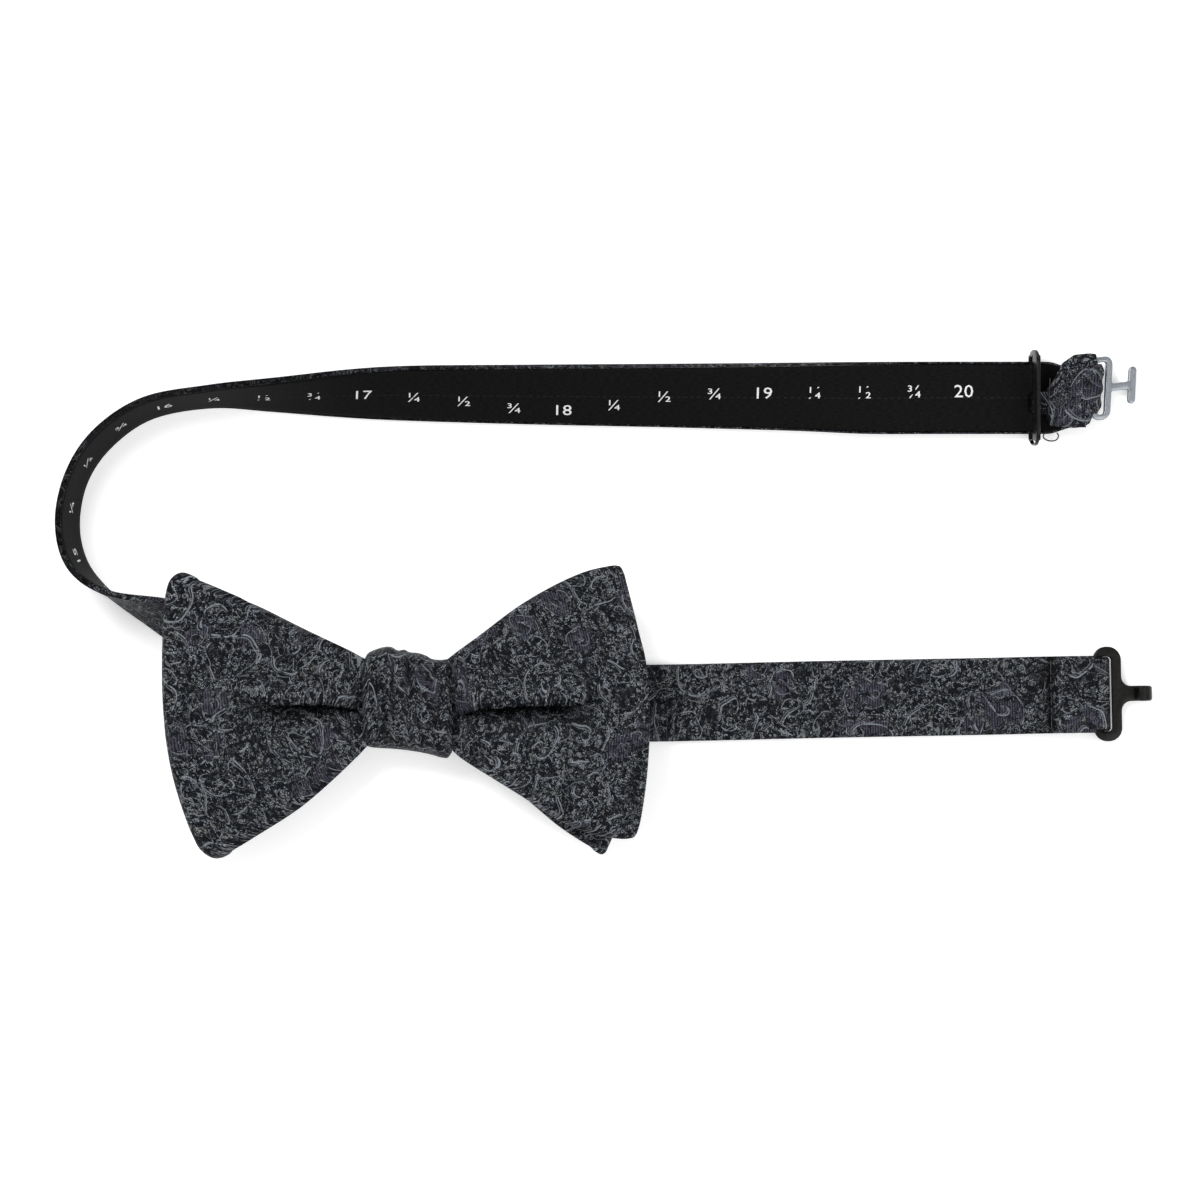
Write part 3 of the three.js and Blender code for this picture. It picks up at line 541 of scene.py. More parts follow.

# Painted shadow darkens the long band's edge where the band turns, and painted shade marks the hem's crease on the
# short band.
section = np.array(channel_section(LONG_WIDTH))
edge = smoothstep(np.abs(section[:, 0]), LONG_WIDTH / 2 - 0.9, LONG_WIDTH / 2 - 0.5)
long_s = np.linspace(0, LONG_LENGTH, int(LONG_LENGTH / 0.9))
turn_s = np.interp(long_s, [60, 78, 84, 165, 200, 250, 300], [0, 0, 0.8, 0.8, 0.6, 0.5, 0.3])
shade_points(long_face, turn_s, len(section), edge)
short_s = np.linspace(0, SHORT_LENGTH, int(SHORT_LENGTH / 0.9))
hem_s = SHORT_LENGTH - 11.4
# painted shade along the hem's crease, with a softer painted shade beside it
hem_crease_shade = np.exp(-(((short_s - hem_s) / 1.0) ** 2))
shade_points(short_face, 0.9 * hem_crease_shade + 0.35 * np.exp(-(((short_s - hem_s + 2.0) / 1.6) ** 2)), len(section))

# ---- Woven neck sizes ------------------------------------------------------------------------
QUARTER = 12.72  # tape from one quarter size to the next
TOP_SIZE_X = 141.5
LOW_SIZE = 14.5
DIGIT_HEIGHT = 3.2
FRACTION_HEIGHT = 3.2
WOVEN_RELIEF = 0.05


def text_mesh(text, height):
    """Vertices and faces of a line of text, centred, its digits height tall."""
    curve = bpy.data.curves.new("numeral", "FONT")
    curve.body = text
    curve.align_x = "CENTER"
    curve.align_y = "CENTER"
    curve.size = height / 0.73
    curve.extrude = WOVEN_RELIEF
    curve.resolution_u = 2
    holder = bpy.data.objects.new("numeral", curve)
    scene.collection.objects.link(holder)
    bpy.context.view_layer.update()
    mesh = bpy.data.meshes.new_from_object(holder.evaluated_get(bpy.context.evaluated_depsgraph_get()))
    vertices = np.array([v.co[:] for v in mesh.vertices])
    faces = [tuple(p.vertices) for p in mesh.polygons]
    bpy.data.objects.remove(holder)
    bpy.data.curves.remove(curve)
    bpy.data.meshes.remove(mesh)
    middle = (vertices.min(0) + vertices.max(0)) / 2
    stretch = height / (vertices[:, 1].max() - vertices[:, 1].min())
    return (vertices - middle) * [stretch * 1.12, stretch, 1], faces


FRACTIONS = {1: "\u00bc", 2: "\u00bd", 3: "\u00be"}
# How far the row of sizes strays from the tape's middle, by quarter sizes down from the largest.
DRIFT = np.array([
    (0, 1.7), (4, 1.3), (5, 1.0), (6, 0.1), (7, -2.6), (8, -4.3), (9, -3.9), (10, -1.9), (11, -0.7),
    (12, 0.3), (14, 0),
])
tape_outside = BAND / 2 + 0.02
straight_s = LONG_LENGTH - (161.8 - TOP_SIZE_X)
numeral_vertices, numeral_faces = [], []
for step in range(int((20 - LOW_SIZE) * 4) + 1):
    quarters = 80 - step
    whole, part = divmod(quarters, 4)
    text, height = (FRACTIONS[part], FRACTION_HEIGHT) if part else (str(whole), DIGIT_HEIGHT)
    shape, shape_faces = text_mesh(text, height)
    s = straight_s - step * QUARTER + shape[:, 0]
    aside = np.interp(step, DRIFT[:, 0], DRIFT[:, 1])
    placed = long_path.point(s, -shape[:, 1] - aside, -tape_outside - shape[:, 2])
    start = sum(len(v) for v in numeral_vertices)
    numeral_vertices.append(placed)
    numeral_faces += [tuple(i + start for i in f) for f in shape_faces]
numerals = make_mesh("size_numerals", np.vstack(numeral_vertices), numeral_faces, [NUMERAL])
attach(numerals, "tie")

# ---- Folded band ends ------------------------------------------------------------------------
T_PIVOT = (173.8, 79.4, 4.6)
T_TURN = math.radians(6.5)
RING_PIVOT = (175.3, 1.95, 3.0)
RING_TURN = math.radians(1.2)


def arc(cx, cz, radius, start, end, count):
    a = np.radians(np.linspace(start, end, count))
    return [(cx + radius * math.cos(t), cz + radius * math.sin(t)) for t in a]


# The short band's end, round the ring's inner bar and back under the band to the hem.
short_radius = 0.9 + 0.35 + BAND / 2
short_fold_path = Path.in_plane(
    [(-1.3, short_radius - 0.05)] + arc(0.5, 0, short_radius, 90, -90, 9)
    + [(x, -short_radius) for x in (-3.5, -8, -12.6)],
    RING_PIVOT, RING_TURN,
)
short_fold = sweep(
    "short_band_fold_cloth", short_fold_path, slab_section(18.8, -BAND / 2, BAND / 2, r=0.5),
    np.linspace(0, short_fold_path.length[-1], 70), [LINING, JACQUARD], uv_shift=(500 + SHORT_LENGTH, 0),
)
declare_cloth(
    short_fold, "short_band_fold"
)

# The long band under the fold.
LOWER_START, LOWER_END = 162.1, 172.6
lower_z = REST + STRAIGHT_LIFT + BAND / 2
lower_path = Path.in_plane([(LOWER_START - 0.5, lower_z), (168, lower_z), (LOWER_END, lower_z)], (0, STRAIGHT_Y, 0))
lower_run = sweep(
    "fold_lower_run_cloth", lower_path, slab_section(LONG_WIDTH, -BAND / 2, BAND / 2, r=0.5),
    np.linspace(0, lower_path.length[-1], 16), [JACQUARD, LINING],
    width_change=lambda s: -1.7 * smoothstep(s, 1.0, 8.0), lining_side="flat",
)

# ---- Fittings --------------------------------------------------------------------------------
METAL = 1.2
METAL_ROUND = 0.42


def rounded(points, radii, steps=8):
    """A closed outline with each corner rounded to its radius."""
    out = []
    count = len(points)
    for i in range(count):
        here = np.array(points[i], float)
        before = np.array(points[i - 1], float) - here
        after = np.array(points[(i + 1) % count], float) - here
        r = radii[i] if isinstance(radii, (list, tuple)) else radii
        if r <= 0:
            out.append(tuple(here))
            continue
        ub, ua = before / np.linalg.norm(before), after / np.linalg.norm(after)
        half = math.acos(np.clip(ub @ ua, -1, 1)) / 2
        reach = min(r / math.tan(half), 0.499 * np.linalg.norm(before), 0.499 * np.linalg.norm(after))
        true_r = reach * math.tan(half)
        start, end = here + ub * reach, here + ua * reach
        middle = here + (ub + ua) / np.linalg.norm(ub + ua) * (true_r / math.sin(half))
        a0 = math.atan2(*(start - middle)[::-1])
        a1 = math.atan2(*(end - middle)[::-1])
        turn = (a1 - a0 + math.pi) % (2 * math.pi) - math.pi
        out += [tuple(middle + true_r * np.array([math.cos(a0 + turn * k / steps), math.sin(a0 + turn * k / steps)]))
                for k in range(steps + 1)]
    return out


def plate(name, outline, holes, material, matrix, thickness=METAL):
    """A flat metal piece with rounded edges, from outlines in millimetres."""
    curve = bpy.data.curves.new(name, "CURVE")
    curve.dimensions = "2D"
    curve.fill_mode = "BOTH"
    curve.extrude = (thickness / 2 - METAL_ROUND) * MM
    curve.bevel_depth = METAL_ROUND * MM
    curve.bevel_resolution = 3
    curve.offset = -METAL_ROUND * MM
    for loop in [outline, *holes]:
        track = curve.splines.new("POLY")
        track.points.add(len(loop) - 1)
        for point, (x, y) in zip(track.points, loop):
            point.co = (x * MM, y * MM, 0, 1)
        track.use_cyclic_u = True
    holder = bpy.data.objects.new(name, curve)
    scene.collection.objects.link(holder)
    bpy.context.view_layer.update()
    mesh = bpy.data.meshes.new_from_object(holder.evaluated_get(bpy.context.evaluated_depsgraph_get()))
    bpy.data.objects.remove(holder)
    bpy.data.curves.remove(curve)
    work = bmesh.new()
    work.from_mesh(mesh)
    bmesh.ops.remove_doubles(work, verts=work.verts, dist=1e-7)
    bmesh.ops.recalc_face_normals(work, faces=work.faces)
    work.to_mesh(mesh)
    work.free()
    mesh.transform(matrix)
    mesh.materials.clear()
    mesh.materials.append(material)
    mesh.shade_smooth()
    mesh.set_sharp_from_angle(angle=math.radians(40))
    piece = bpy.data.objects.new(name, mesh)
    scene.collection.objects.link(piece)
    return piece


def place(pivot, turn, drop):
    return (
        Matrix.Translation(Vector(pivot) * MM) @ Matrix.Rotation(turn, 4, "Z") @ Matrix.Rotation(drop, 4, "Y")
    )


def box_outline(left, bottom, right, top):
    return [(left, bottom), (right, bottom), (right, top), (left, top)]


def mirrored(half):
    """The lower half of an outline, followed by its mirror image above the x axis."""
    return half + [(x, -y) for x, y in reversed(half)]


# Slider: a rounded plate with two windows, standing nearly on edge across the band.
SLIDER_X = 159.4
SLIDER_LEAN = math.radians(10)
SLIDER_HEIGHT, SLIDER_LENGTH = 12.0, 24.4
SLIDER_PLATE = 11.6  # the visible plate is a little narrower than the CAD slider, as in the photo
slider_z = REST + SLIDER_HEIGHT / 2 * math.cos(SLIDER_LEAN) + METAL / 2 * math.sin(SLIDER_LEAN)
windows = [
    rounded(box_outline(low, -10.4, high, 10.4), 0.25) for low, high in ((-5.0, -0.6), (0.6, 5.0))
]
slider_outline = box_outline(-SLIDER_PLATE / 2, -SLIDER_LENGTH / 2, SLIDER_PLATE / 2, SLIDER_LENGTH / 2)
slider = plate(
    "slider_plate", rounded(slider_outline, 4.6), windows, BLACK_METAL,
    place((SLIDER_X, STRAIGHT_Y, slider_z), 0, -(math.pi / 2 - SLIDER_LEAN)), 1.0,
)
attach(slider, "slider_plate")
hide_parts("slider")

# T-hook: ring, stem and cross bar.
T_BAR, T_RING, T_RING_WIDTH, T_STEM = 1.8, 16.0, 6.4, 4.5
t_right = -T_BAR / 2 + T_RING_WIDTH
t_cross = t_right + T_STEM
t_outline = rounded(
    mirrored([(-T_BAR / 2, -T_RING / 2), (t_right, -T_RING / 2), (t_right, -1), (t_cross, -1), (t_cross, -4.7),
              (t_cross + 2.1, -4.7)]),
    [2.2, 2.2, 0.5, 0.5, 1.04, 1.04, 1.04, 1.04, 0.5, 0.5, 2.2, 2.2],
)
t_slot = rounded(box_outline(T_BAR / 2, -6.6, t_right - T_BAR, 6.6), 0.7)
T_SLANT = 0.17  # its outer bars lean to the right of square with its stem
t_outline, t_slot = (
    [(x + T_SLANT * y * float(smoothstep(x, 0.9, 3.0)), y) for x, y in loop] for loop in (t_outline, t_slot)
)
t_hook = plate("t_hook_plate", t_outline, [t_slot], NICKEL, place(T_PIVOT, T_TURN, math.radians(18)))
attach(t_hook, "t_hook")
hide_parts("t_hook")

# Ring and hook of the short band.
RING_LENGTH, RING_WIDTH, RING_BAR, RING_INNER, NECK = 24.1, 7.3, 2.6, 1.8, 3.9
r_left = -RING_INNER / 2
r_right = r_left + RING_WIDTH
r_end = r_right + 4.8
ring_outline = rounded(
    mirrored([(r_left, -RING_LENGTH / 2), (r_right, -RING_LENGTH / 2), (r_right, -NECK / 2), (r_end, -NECK / 2)]),
    [3.4, 3.4, 2.4, 0, 0, 2.4, 3.4, 3.4],
)
ring_slot = rounded(box_outline(RING_INNER / 2, -9.45, r_right - RING_BAR, 9.45), 0.9)
ring_place = place(RING_PIVOT, RING_TURN, math.radians(8))
ring = plate("ring_hook_plate", ring_outline, [ring_slot], BLACK_METAL, ring_place)
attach(ring, "ring_hook")
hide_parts("ring_hook")

HOOK_RADIUS = 2.1
hook_path = Path.in_plane(
    [(r_end - 1.6, 0), (r_end - 0.8, 0)] + arc(r_end, HOOK_RADIUS, HOOK_RADIUS, -90, 112, 12), (0, 0, 0)
)
hook = sweep(
    "ring_hook_curl", hook_path, slab_section(NECK, -METAL / 2, METAL / 2, r=METAL_ROUND),
    np.linspace(0, hook_path.length[-1], 40), [BLACK_METAL],
)
hook.data.transform(ring_place)
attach(hook, "ring_hook")

# ---- Fold of the long band round the T-hook, back to the slider ------------------------------
t_radius = T_BAR / 2 + 0.35 + BAND / 2
TAB = 0.7
tab_radius = METAL / 2 + 0.35 + TAB / 2
sx, sz = SLIDER_X, slider_z
return_z = T_PIVOT[2] + t_radius
fold_points = [(T_PIVOT[0] - 1.4, T_PIVOT[2] - t_radius), (T_PIVOT[0] - 0.6, T_PIVOT[2] - t_radius)]
fold_points += arc(T_PIVOT[0] + 0.2, T_PIVOT[2], t_radius, -90, 90, 11)
fold_points += [
    (T_PIVOT[0] - 1.2, return_z), (170.2, return_z + 0.15), (167, return_z + 0.35), (164.5, return_z + 0.5),
    (162.3, sz + tab_radius + 0.1), (160.4, sz + tab_radius + 0.05),
]
fold_points += arc(sx, sz, tab_radius, 70, 250, 9)
fold_points += [(sx + 0.9, sz - tab_radius), (sx + 2.6, sz - tab_radius + 0.3), (sx + 4.6, sz - tab_radius + 0.75)]
fold_path = Path.in_plane(fold_points, (0, STRAIGHT_Y + 0.3, 0))
# Half width of the cloth along the fold: squeezed in the ring's slot and at the slider's bar.
fold_x = fold_path.centre[:, 0]
fold_s = fold_path.length
s_ring = fold_s[np.argmax(fold_x)]
s_bar = fold_s[np.argmin(fold_x)]
# Rows: place along the fold, half width of the cloth, and how far it lies below the band's middle.
FOLD_SHAPE = np.array([
    (0, 7.0, -1.2), (s_ring - 3.2, 6.7, -1.8), (s_ring - 1.5, 6.2, -2.0), (s_ring + 0.2, 6.3, -2.0),
    (s_ring + 2.3, 6.3, -2.0), (s_ring + 3.1, 8.8, -2.0), (s_ring + 4.6, 9.35, -1.65), (s_bar - 12.2, 9.3, -1.3),
    (s_bar - 9.2, 8.1, -0.4), (s_bar - 6.3, 5.2, 2.3), (s_bar - 4.5, 2.9, 1.7), (s_bar, 2.4, 1.6),
    (fold_s[-1], 3.6, 0.5),
])
width_s, width_v, shift_v = FOLD_SHAPE.T


def fold_width(s):
    return 2 * np.interp(s, width_s, width_v)


def strip_of_cloth(name, path, widths, thickness, s_values, materials, shift=0.0, sag=None):
    """A doubled cloth strip of changing width and thickness with rounded edges."""
    rings, around = [], []
    base = np.array(slab_section(2.0, -0.5, 0.5, r=0.25))
    for s, width, thick in zip(s_values, widths, thickness):
        x = base[:, 0] * width / 2
        y = base[:, 1] * thick
        if sag is not None:
            y = y + sag(s, x, width)
        rings.append(path.point(np.full(len(x), s), x + np.interp(s, width_s, shift_v), y))
        around.append(np.append(x, x[0]))
    vertices, faces, uvs = ring_tube(np.array(rings), np.asarray(s_values) + shift, np.array(around))
    which = None
    if len(materials) > 1:
        lower = (base[:, 1] + np.roll(base[:, 1], -1)) / 2 < -0.3
        which = np.concatenate([np.tile(lower.astype(int), len(rings) - 1), [0, 0]])
    return make_mesh(name, vertices, faces, materials, which, uvs)


def fold_sag(s, x, width):
    """The cloth droops a little at its sides and puckers where it is squeezed."""
    near = math.exp(-(((s - s_ring) / 5) ** 2))
    pucker = 0.22 * near * np.cos(x * 1.5)
    return pucker - 0.25 * (2 * x / width) ** 4


fold_values = np.linspace(0, fold_s[-1], 150)
fold_thick = np.interp(fold_values, [0, s_bar - 9, s_bar - 5, fold_s[-1]], [BAND, BAND, TAB, TAB])
fold_thick *= 1 - 0.25 * np.exp(-(((fold_values - s_ring - 0.5) / 2.6) ** 4))
fold = strip_of_cloth(
    "long_band_return", fold_path, fold_width(fold_values), fold_thick, fold_values, [JACQUARD, LINING],
    LONG_LENGTH, fold_sag,
)
for v in fold.data.vertices:
    v.co.x += 0.09 * (v.co.y - 0.0795) * float(smoothstep(v.co.x, 0.1685, 0.1745))
tab_shade = np.interp(fold_values, [s_bar - 2.6, s_bar - 1.6], [0, 0.97])
shade_points(fold, tab_shade, len(fold.data.vertices) // len(fold_values))
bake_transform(fold)
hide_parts("long_band_fold", "fold_return_run", "slider_tab")

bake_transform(lower_run)
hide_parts("fold_lower_run")


# ---- Threads ---------------------------------------------------------------------------------
def thread(name, points, radius):
    """A round thread through points, as a closed mesh."""
    centre = even_curve(points)(np.linspace(0, 1, max(12, len(points) * 5)))
    along = unit(np.gradient(centre, axis=0))
    side = unit(np.cross(along, [0.01, 0.02, 1.0]))
    up = np.cross(side, along)
    angles = np.linspace(0, 2 * math.pi, 9)[:-1]
    rings = np.array([c + radius * (np.cos(angles)[:, None] * a + np.sin(angles)[:, None] * b)
                      for c, a, b in zip(centre, side, up)])
    length = run_length(centre)
    around = np.tile(np.linspace(0, 1, 9), (len(centre), 1))
    vertices, faces, uvs = ring_tube(rings, length, around)
    return make_mesh(name, vertices, faces, [THREAD], None, uvs)


def stitch_points(start, end, count, rise):
    points = []
    for i in range(count * 2 + 1):
        p = lerp(np.array(start, float), np.array(end, float), i / (count * 2))
        p[2] += rise if i % 2 else -rise
        points.append(tuple(p))
    return points


HEM_X = 163.7
hem_at = SHORT_LENGTH - (175.1 - HEM_X)
hem_ends = short_path.point(np.array([hem_at, hem_at]), np.array([-8.7, 8.7]), np.array([BAND / 2 + 0.14] * 2))
hem = thread("short_band_hem_thread", stitch_points(hem_ends[0], hem_ends[1], 9, 0.12), 0.15)
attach(hem, "tie")
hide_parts("short_band_hem_stitches")

tab_top = sz + tab_radius + 0.62
tab_seam = thread(
    "slider_tab_thread",
    stitch_points(
        (sx + 3.5, STRAIGHT_Y - 4.2, tab_top + 0.25), (sx + 3.9, STRAIGHT_Y + 4.9, tab_top + 0.25), 5, 0.14
    ),
    0.14,
)
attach(tab_seam, "slider_carriage")
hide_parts("slider_tab_stitches")

loop_y = STRAIGHT_Y - LONG_WIDTH / 2
loose = thread(
    "loose_thread",
    [(161.9, loop_y + 0.2, lower_z + 0.6), (161.8, loop_y - 0.9, lower_z), (163.2, loop_y - 1.7, lower_z - 0.6),
     (165.0, loop_y - 1.5, lower_z - 0.6), (165.6, loop_y - 0.5, lower_z), (165.2, loop_y + 0.3, lower_z + 0.8)],
    0.17,
)
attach(loose, "slider_carriage")
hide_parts("loose_thread_loop")

# ---- Bow -------------------------------------------------------------------------------------
WING = 2.0
WING_CLOTH = 0.5
KNOT_END = 3.5
KNOT_HALF = 9.0


def outline(bottom, top, outer):
    """A wing's plan as a patch: u from the knot to the outer edge, v from bottom to top."""
    low, high, end = even_curve(bottom), even_curve(top), even_curve(outer)
    low_end, high_end = low(np.array([1.0]))[0], high(np.array([1.0]))[0]

    def at(u, v):
        straight = lerp(low(u), high(u), v[..., None])
        return straight + u[..., None] * (end(v) - lerp(low_end, high_end, v[..., None]))

    return at


LEFT = outline(
    bottom=[(-KNOT_END, -KNOT_HALF), (-9, -10.2), (-12.5, -13.6), (-19, -19.8), (-27.2, -26.7), (-36, -32.4),
            (-43.4, -37.0), (-45.8, -38.2)],
    top=[(-KNOT_END, KNOT_HALF), (-9, 10.2), (-13.5, 12.5), (-20, 15.6), (-27.2, 18.9), (-37.3, 23.9),
         (-47, 28.2), (-54.4, 31.3)],
    outer=[(-45.8, -38.2), (-48.8, -38.7), (-51.6, -36.9), (-53.4, -33.6), (-55.6, -28), (-58.3, -19), (-60.0, -9.7),
           (-60.9, 2), (-60.9, 13.2), (-60.5, 22), (-59.9, 27.6), (-58.9, 30.6), (-57.0, 31.9), (-54.4, 31.3)],
)
RIGHT = outline(
    bottom=[(KNOT_END, -KNOT_HALF), (9, -10.2), (13.5, -14.0), (20, -18.2), (28.7, -23.6), (37, -29.0),
            (44, -32.4), (50.3, -34.2), (55, -34.6)],
    top=[(KNOT_END, KNOT_HALF), (9, 10.2), (13.0, 13.0), (18.5, 17.0), (28.7, 24.6), (38.9, 30.4),
         (46.5, 33.5), (52.5, 34.6)],
    outer=[(55, -34.6), (57.6, -34.2), (58.7, -32.2), (60.5, -22.4), (61.5, -10.9), (61.7, -4.6), (60.6, 10.7),
           (57.9, 20.8), (55.9, 29.5), (55.0, 33.0), (54.0, 34.5), (52.5, 34.6)],
)
REAR_RIGHT = outline(
    bottom=[(KNOT_END, -KNOT_HALF), (9, -9.9), (14, -13.2), (28.7, -23.4), (38.9, -31.8), (46.5, -36.7),
            (48.4, -37.7)],
    top=[(KNOT_END, KNOT_HALF - 0.4), (9, 9.6), (14, 12.4), (28.7, 21.6), (42, 28), (50.5, 30.4)],
    outer=[(48.4, -37.7), (49.5, -37.7), (50.1, -36.6), (53.6, -28), (56.8, -16), (58.4, -3), (57.6, 12), (54.6, 25),
           (53.4, 29.4), (52.2, 30.6), (50.5, 30.4)],
)


def rear_height(xy, u):
    """Height of the rearmost layer's middle, clear of the raised band on the left."""
    outer = np.where(xy[..., 0] < 0, 4.4 - 0.181 * xy[..., 0] + 0.154 * xy[..., 1], 4.4 + 0.075 * xy[..., 0])
    return lerp(5.6, outer, smoothstep(u, 0, 0.75))


# Each pleat: distance from the knot's middle, height of its upper lip, width below the lip.
LEFT_PLEAT = [(7, -2.1, 0.9), (13, -1.3, 2.2), (21, -0.1, 4.2), (30, -0.1, 4.6), (38, -0.7, 5.4), (52, -2.6, 9)]
RIGHT_PLEAT = [(7, -4.1, 0.4), (12, -3.5, 0.8), (18, -1.3, 3.3), (31, -0.3, 4.6), (43, -0.3, 5.2), (56, -0.8, 9)]


def pleat(xy, left):
    """Depth of the pleat that runs out from the knot, and the shade painted into it: a sharp upper lip, a soft lower
    side.
    """
    x, y = np.abs(xy[..., 0]), xy[..., 1]
    table = np.array(LEFT_PLEAT if left else RIGHT_PLEAT)
    soft_from, far = (31.0, 50.0) if left else (41.0, 55.0)
    lip = np.interp(x, table[:, 0], table[:, 1])
    width = np.interp(x, table[:, 0], table[:, 2])
    strength = smoothstep(x, 7.5, 18) * (1 - smoothstep(x, soft_from - 5, far))
    below = lip - y
    soft = 0.3 + 4.5 * smoothstep(x, soft_from, far)
    depth = 4.4 * strength * np.where(
        below > 0, np.exp(-((below / (width * 0.95)) ** 1.8)), np.exp(-((below / (soft + 0.15)) ** 2))
    )
    roll = 0.8 * strength * np.exp(-(((-below - 1.5 - soft) / 2.0) ** 2))
    # dark: painted shade in the pleat's hollow, darkest just below the upper lip
    dark = smoothstep(x, 9, 13) * (1 - smoothstep(x, soft_from - 4, far)) * np.where(
        below > 0, np.exp(-((below / (width * 1.05)) ** 2.6)), np.exp(-((below / soft) ** 2))
    )
    return depth - roll, dark


def gather(xy, seed):
    """Soft creases that fan out from the knot and fade."""
    angle = np.arctan2(xy[..., 1], np.abs(xy[..., 0]) + 6)
    fade = np.exp(-((np.abs(xy[..., 0]) - 10) / 16).clip(0) ** 1.3)
    slow = 0.35 * np.sin(xy[..., 0] * 0.11 + seed) * np.cos(xy[..., 1] * 0.09 + 2 * seed)
    return 0.55 * fade * ripple(angle * 11, seed) + slow


def leg(plan, layer, shrink, front, left, gap, seed):
    def surface(u, v):
        xy = plan(u, v) * (1 - shrink * u[..., None])
        z = rear_height(xy, u) + layer * lerp(3.4, 2.6, u) + gap * smoothstep(u, 0.08, 0.4)
        dark = np.zeros_like(z)
        if front:
            depth, dark = pleat(xy, left)
            z = z - depth
        z = z + gather(xy, seed) * (0.9 if front else 0.25)
        return np.concatenate([xy, z[..., None]], -1), dark

    return surface


FOLD_SHARE = 0.08
OPENING = 4.4


def loop(plan, layer, puff_most, front_pleat, left, seed):
    rear = leg(plan, layer, 0, False, left, 0, seed)
    inset = 1 - OPENING / 2 / 60

    def front(u, v):
        point, _ = rear(u, v)
        puff = puff_most * np.sin(math.pi * u) * np.cos((v - 0.5) * math.pi * 0.9)
        point[..., 2] += lerp(3.4, OPENING, u) + puff
        dark = np.zeros(u.shape)
        if front_pleat:
            depth, dark = pleat(point[..., :2], left)
            point[..., 2] -= depth
        point[..., 2] += gather(point[..., :2], seed + 3) * 0.8
        return point, dark

    def surface(s, v):
        u_rear = np.clip(s / (0.5 - FOLD_SHARE), 0, 1) * inset
        u_front = np.clip((1 - s) / (0.5 - FOLD_SHARE), 0, 1) * inset
        low, _ = rear(u_rear, v)
        high, dark = front(u_front, v)
        edge, _ = rear(np.ones_like(s), v)
        angle = np.clip((s - 0.5) / FOLD_SHARE, -1, 1) * math.pi / 2
        out = (edge - low) * [1, 1, 0]
        share = ((1 + np.sin(angle)) / 2)[..., None]
        turned = lerp(low, high, share) + out * np.cos(angle)[..., None]
        in_fold = (np.abs(s - 0.5) < FOLD_SHARE)[..., None]
        place = np.where(in_fold, turned, np.where((s < 0.5)[..., None], low, high))
        return place, np.where(s > 0.5, dark, 0)

    return surface


def sleeve(name, surface, s_values, across, closed, uv_shift):
    """A sleeve of cloth, with its middle surface and that surface's normals."""
    v = across
    s_grid, v_grid = np.meshgrid(s_values, v, indexing="ij")
    middle, dark = surface(s_grid, v_grid)
    along = np.gradient(middle, axis=0)
    sideways = np.gradient(middle, axis=1)
    normal = np.cross(along, sideways)
    size = np.linalg.norm(normal, axis=-1, keepdims=True)
    normal = np.where(size > 1e-7, normal / np.maximum(size, 1e-9), [0, 0, 1])
    edge_v = np.abs(2 * v - 1)
    width = np.linalg.norm(middle[:, -1] - middle[:, 0], axis=-1)
    from_edge = (1 - edge_v)[None, :] / 2 * width[:, None]
    profile = np.sqrt(np.clip(1 - (1 - np.clip(from_edge / 1.1, 0, 1)) ** 2, 0.004, 1))
    if closed:
        length = run_length(middle[:, len(v) // 2])
        to_end = (length[-1] - length)[:, None]
        profile = profile * np.sqrt(np.clip(1 - (1 - np.clip(to_end / 1.1, 0, 1)) ** 2, 0.004, 1))
    half = WING / 2 * profile[..., None]
    centre_line = run_length(middle[:, len(v) // 2])
    u_coord = centre_line + uv_shift[0]
    v_coord = middle[..., 1] + uv_shift[1]

    def rings_at(offset_top, rows, columns):
        top = middle[rows][:, columns] + normal[rows][:, columns] * offset_top[rows][:, columns]
        low = middle[rows][:, columns] - normal[rows][:, columns] * offset_top[rows][:, columns]
        ring = np.concatenate([top, low[:, ::-1]], 1)
        coord = v_coord[rows][:, columns]
        around = np.concatenate([coord, coord[:, ::-1], coord[:, :1]], 1)
        crease_shade = dark[rows][:, columns]
        return ring, around, np.concatenate([crease_shade, crease_shade[:, ::-1]], 1)

    rows = np.arange(len(s_values))
    everything = np.arange(len(v))
    outer, outer_uv, outer_painted_shade = rings_at(half, rows, everything)
    vertices, faces, uvs = ring_tube(outer, u_coord, outer_uv, cap_start=False, cap_end=closed)
    # the pleats' painted shade goes into the cloth's shade attribute
    piece = make_mesh(name, vertices, faces, [JACQUARD], None, uvs, 0.93 * outer_painted_shade.ravel())
    return piece, middle, normal


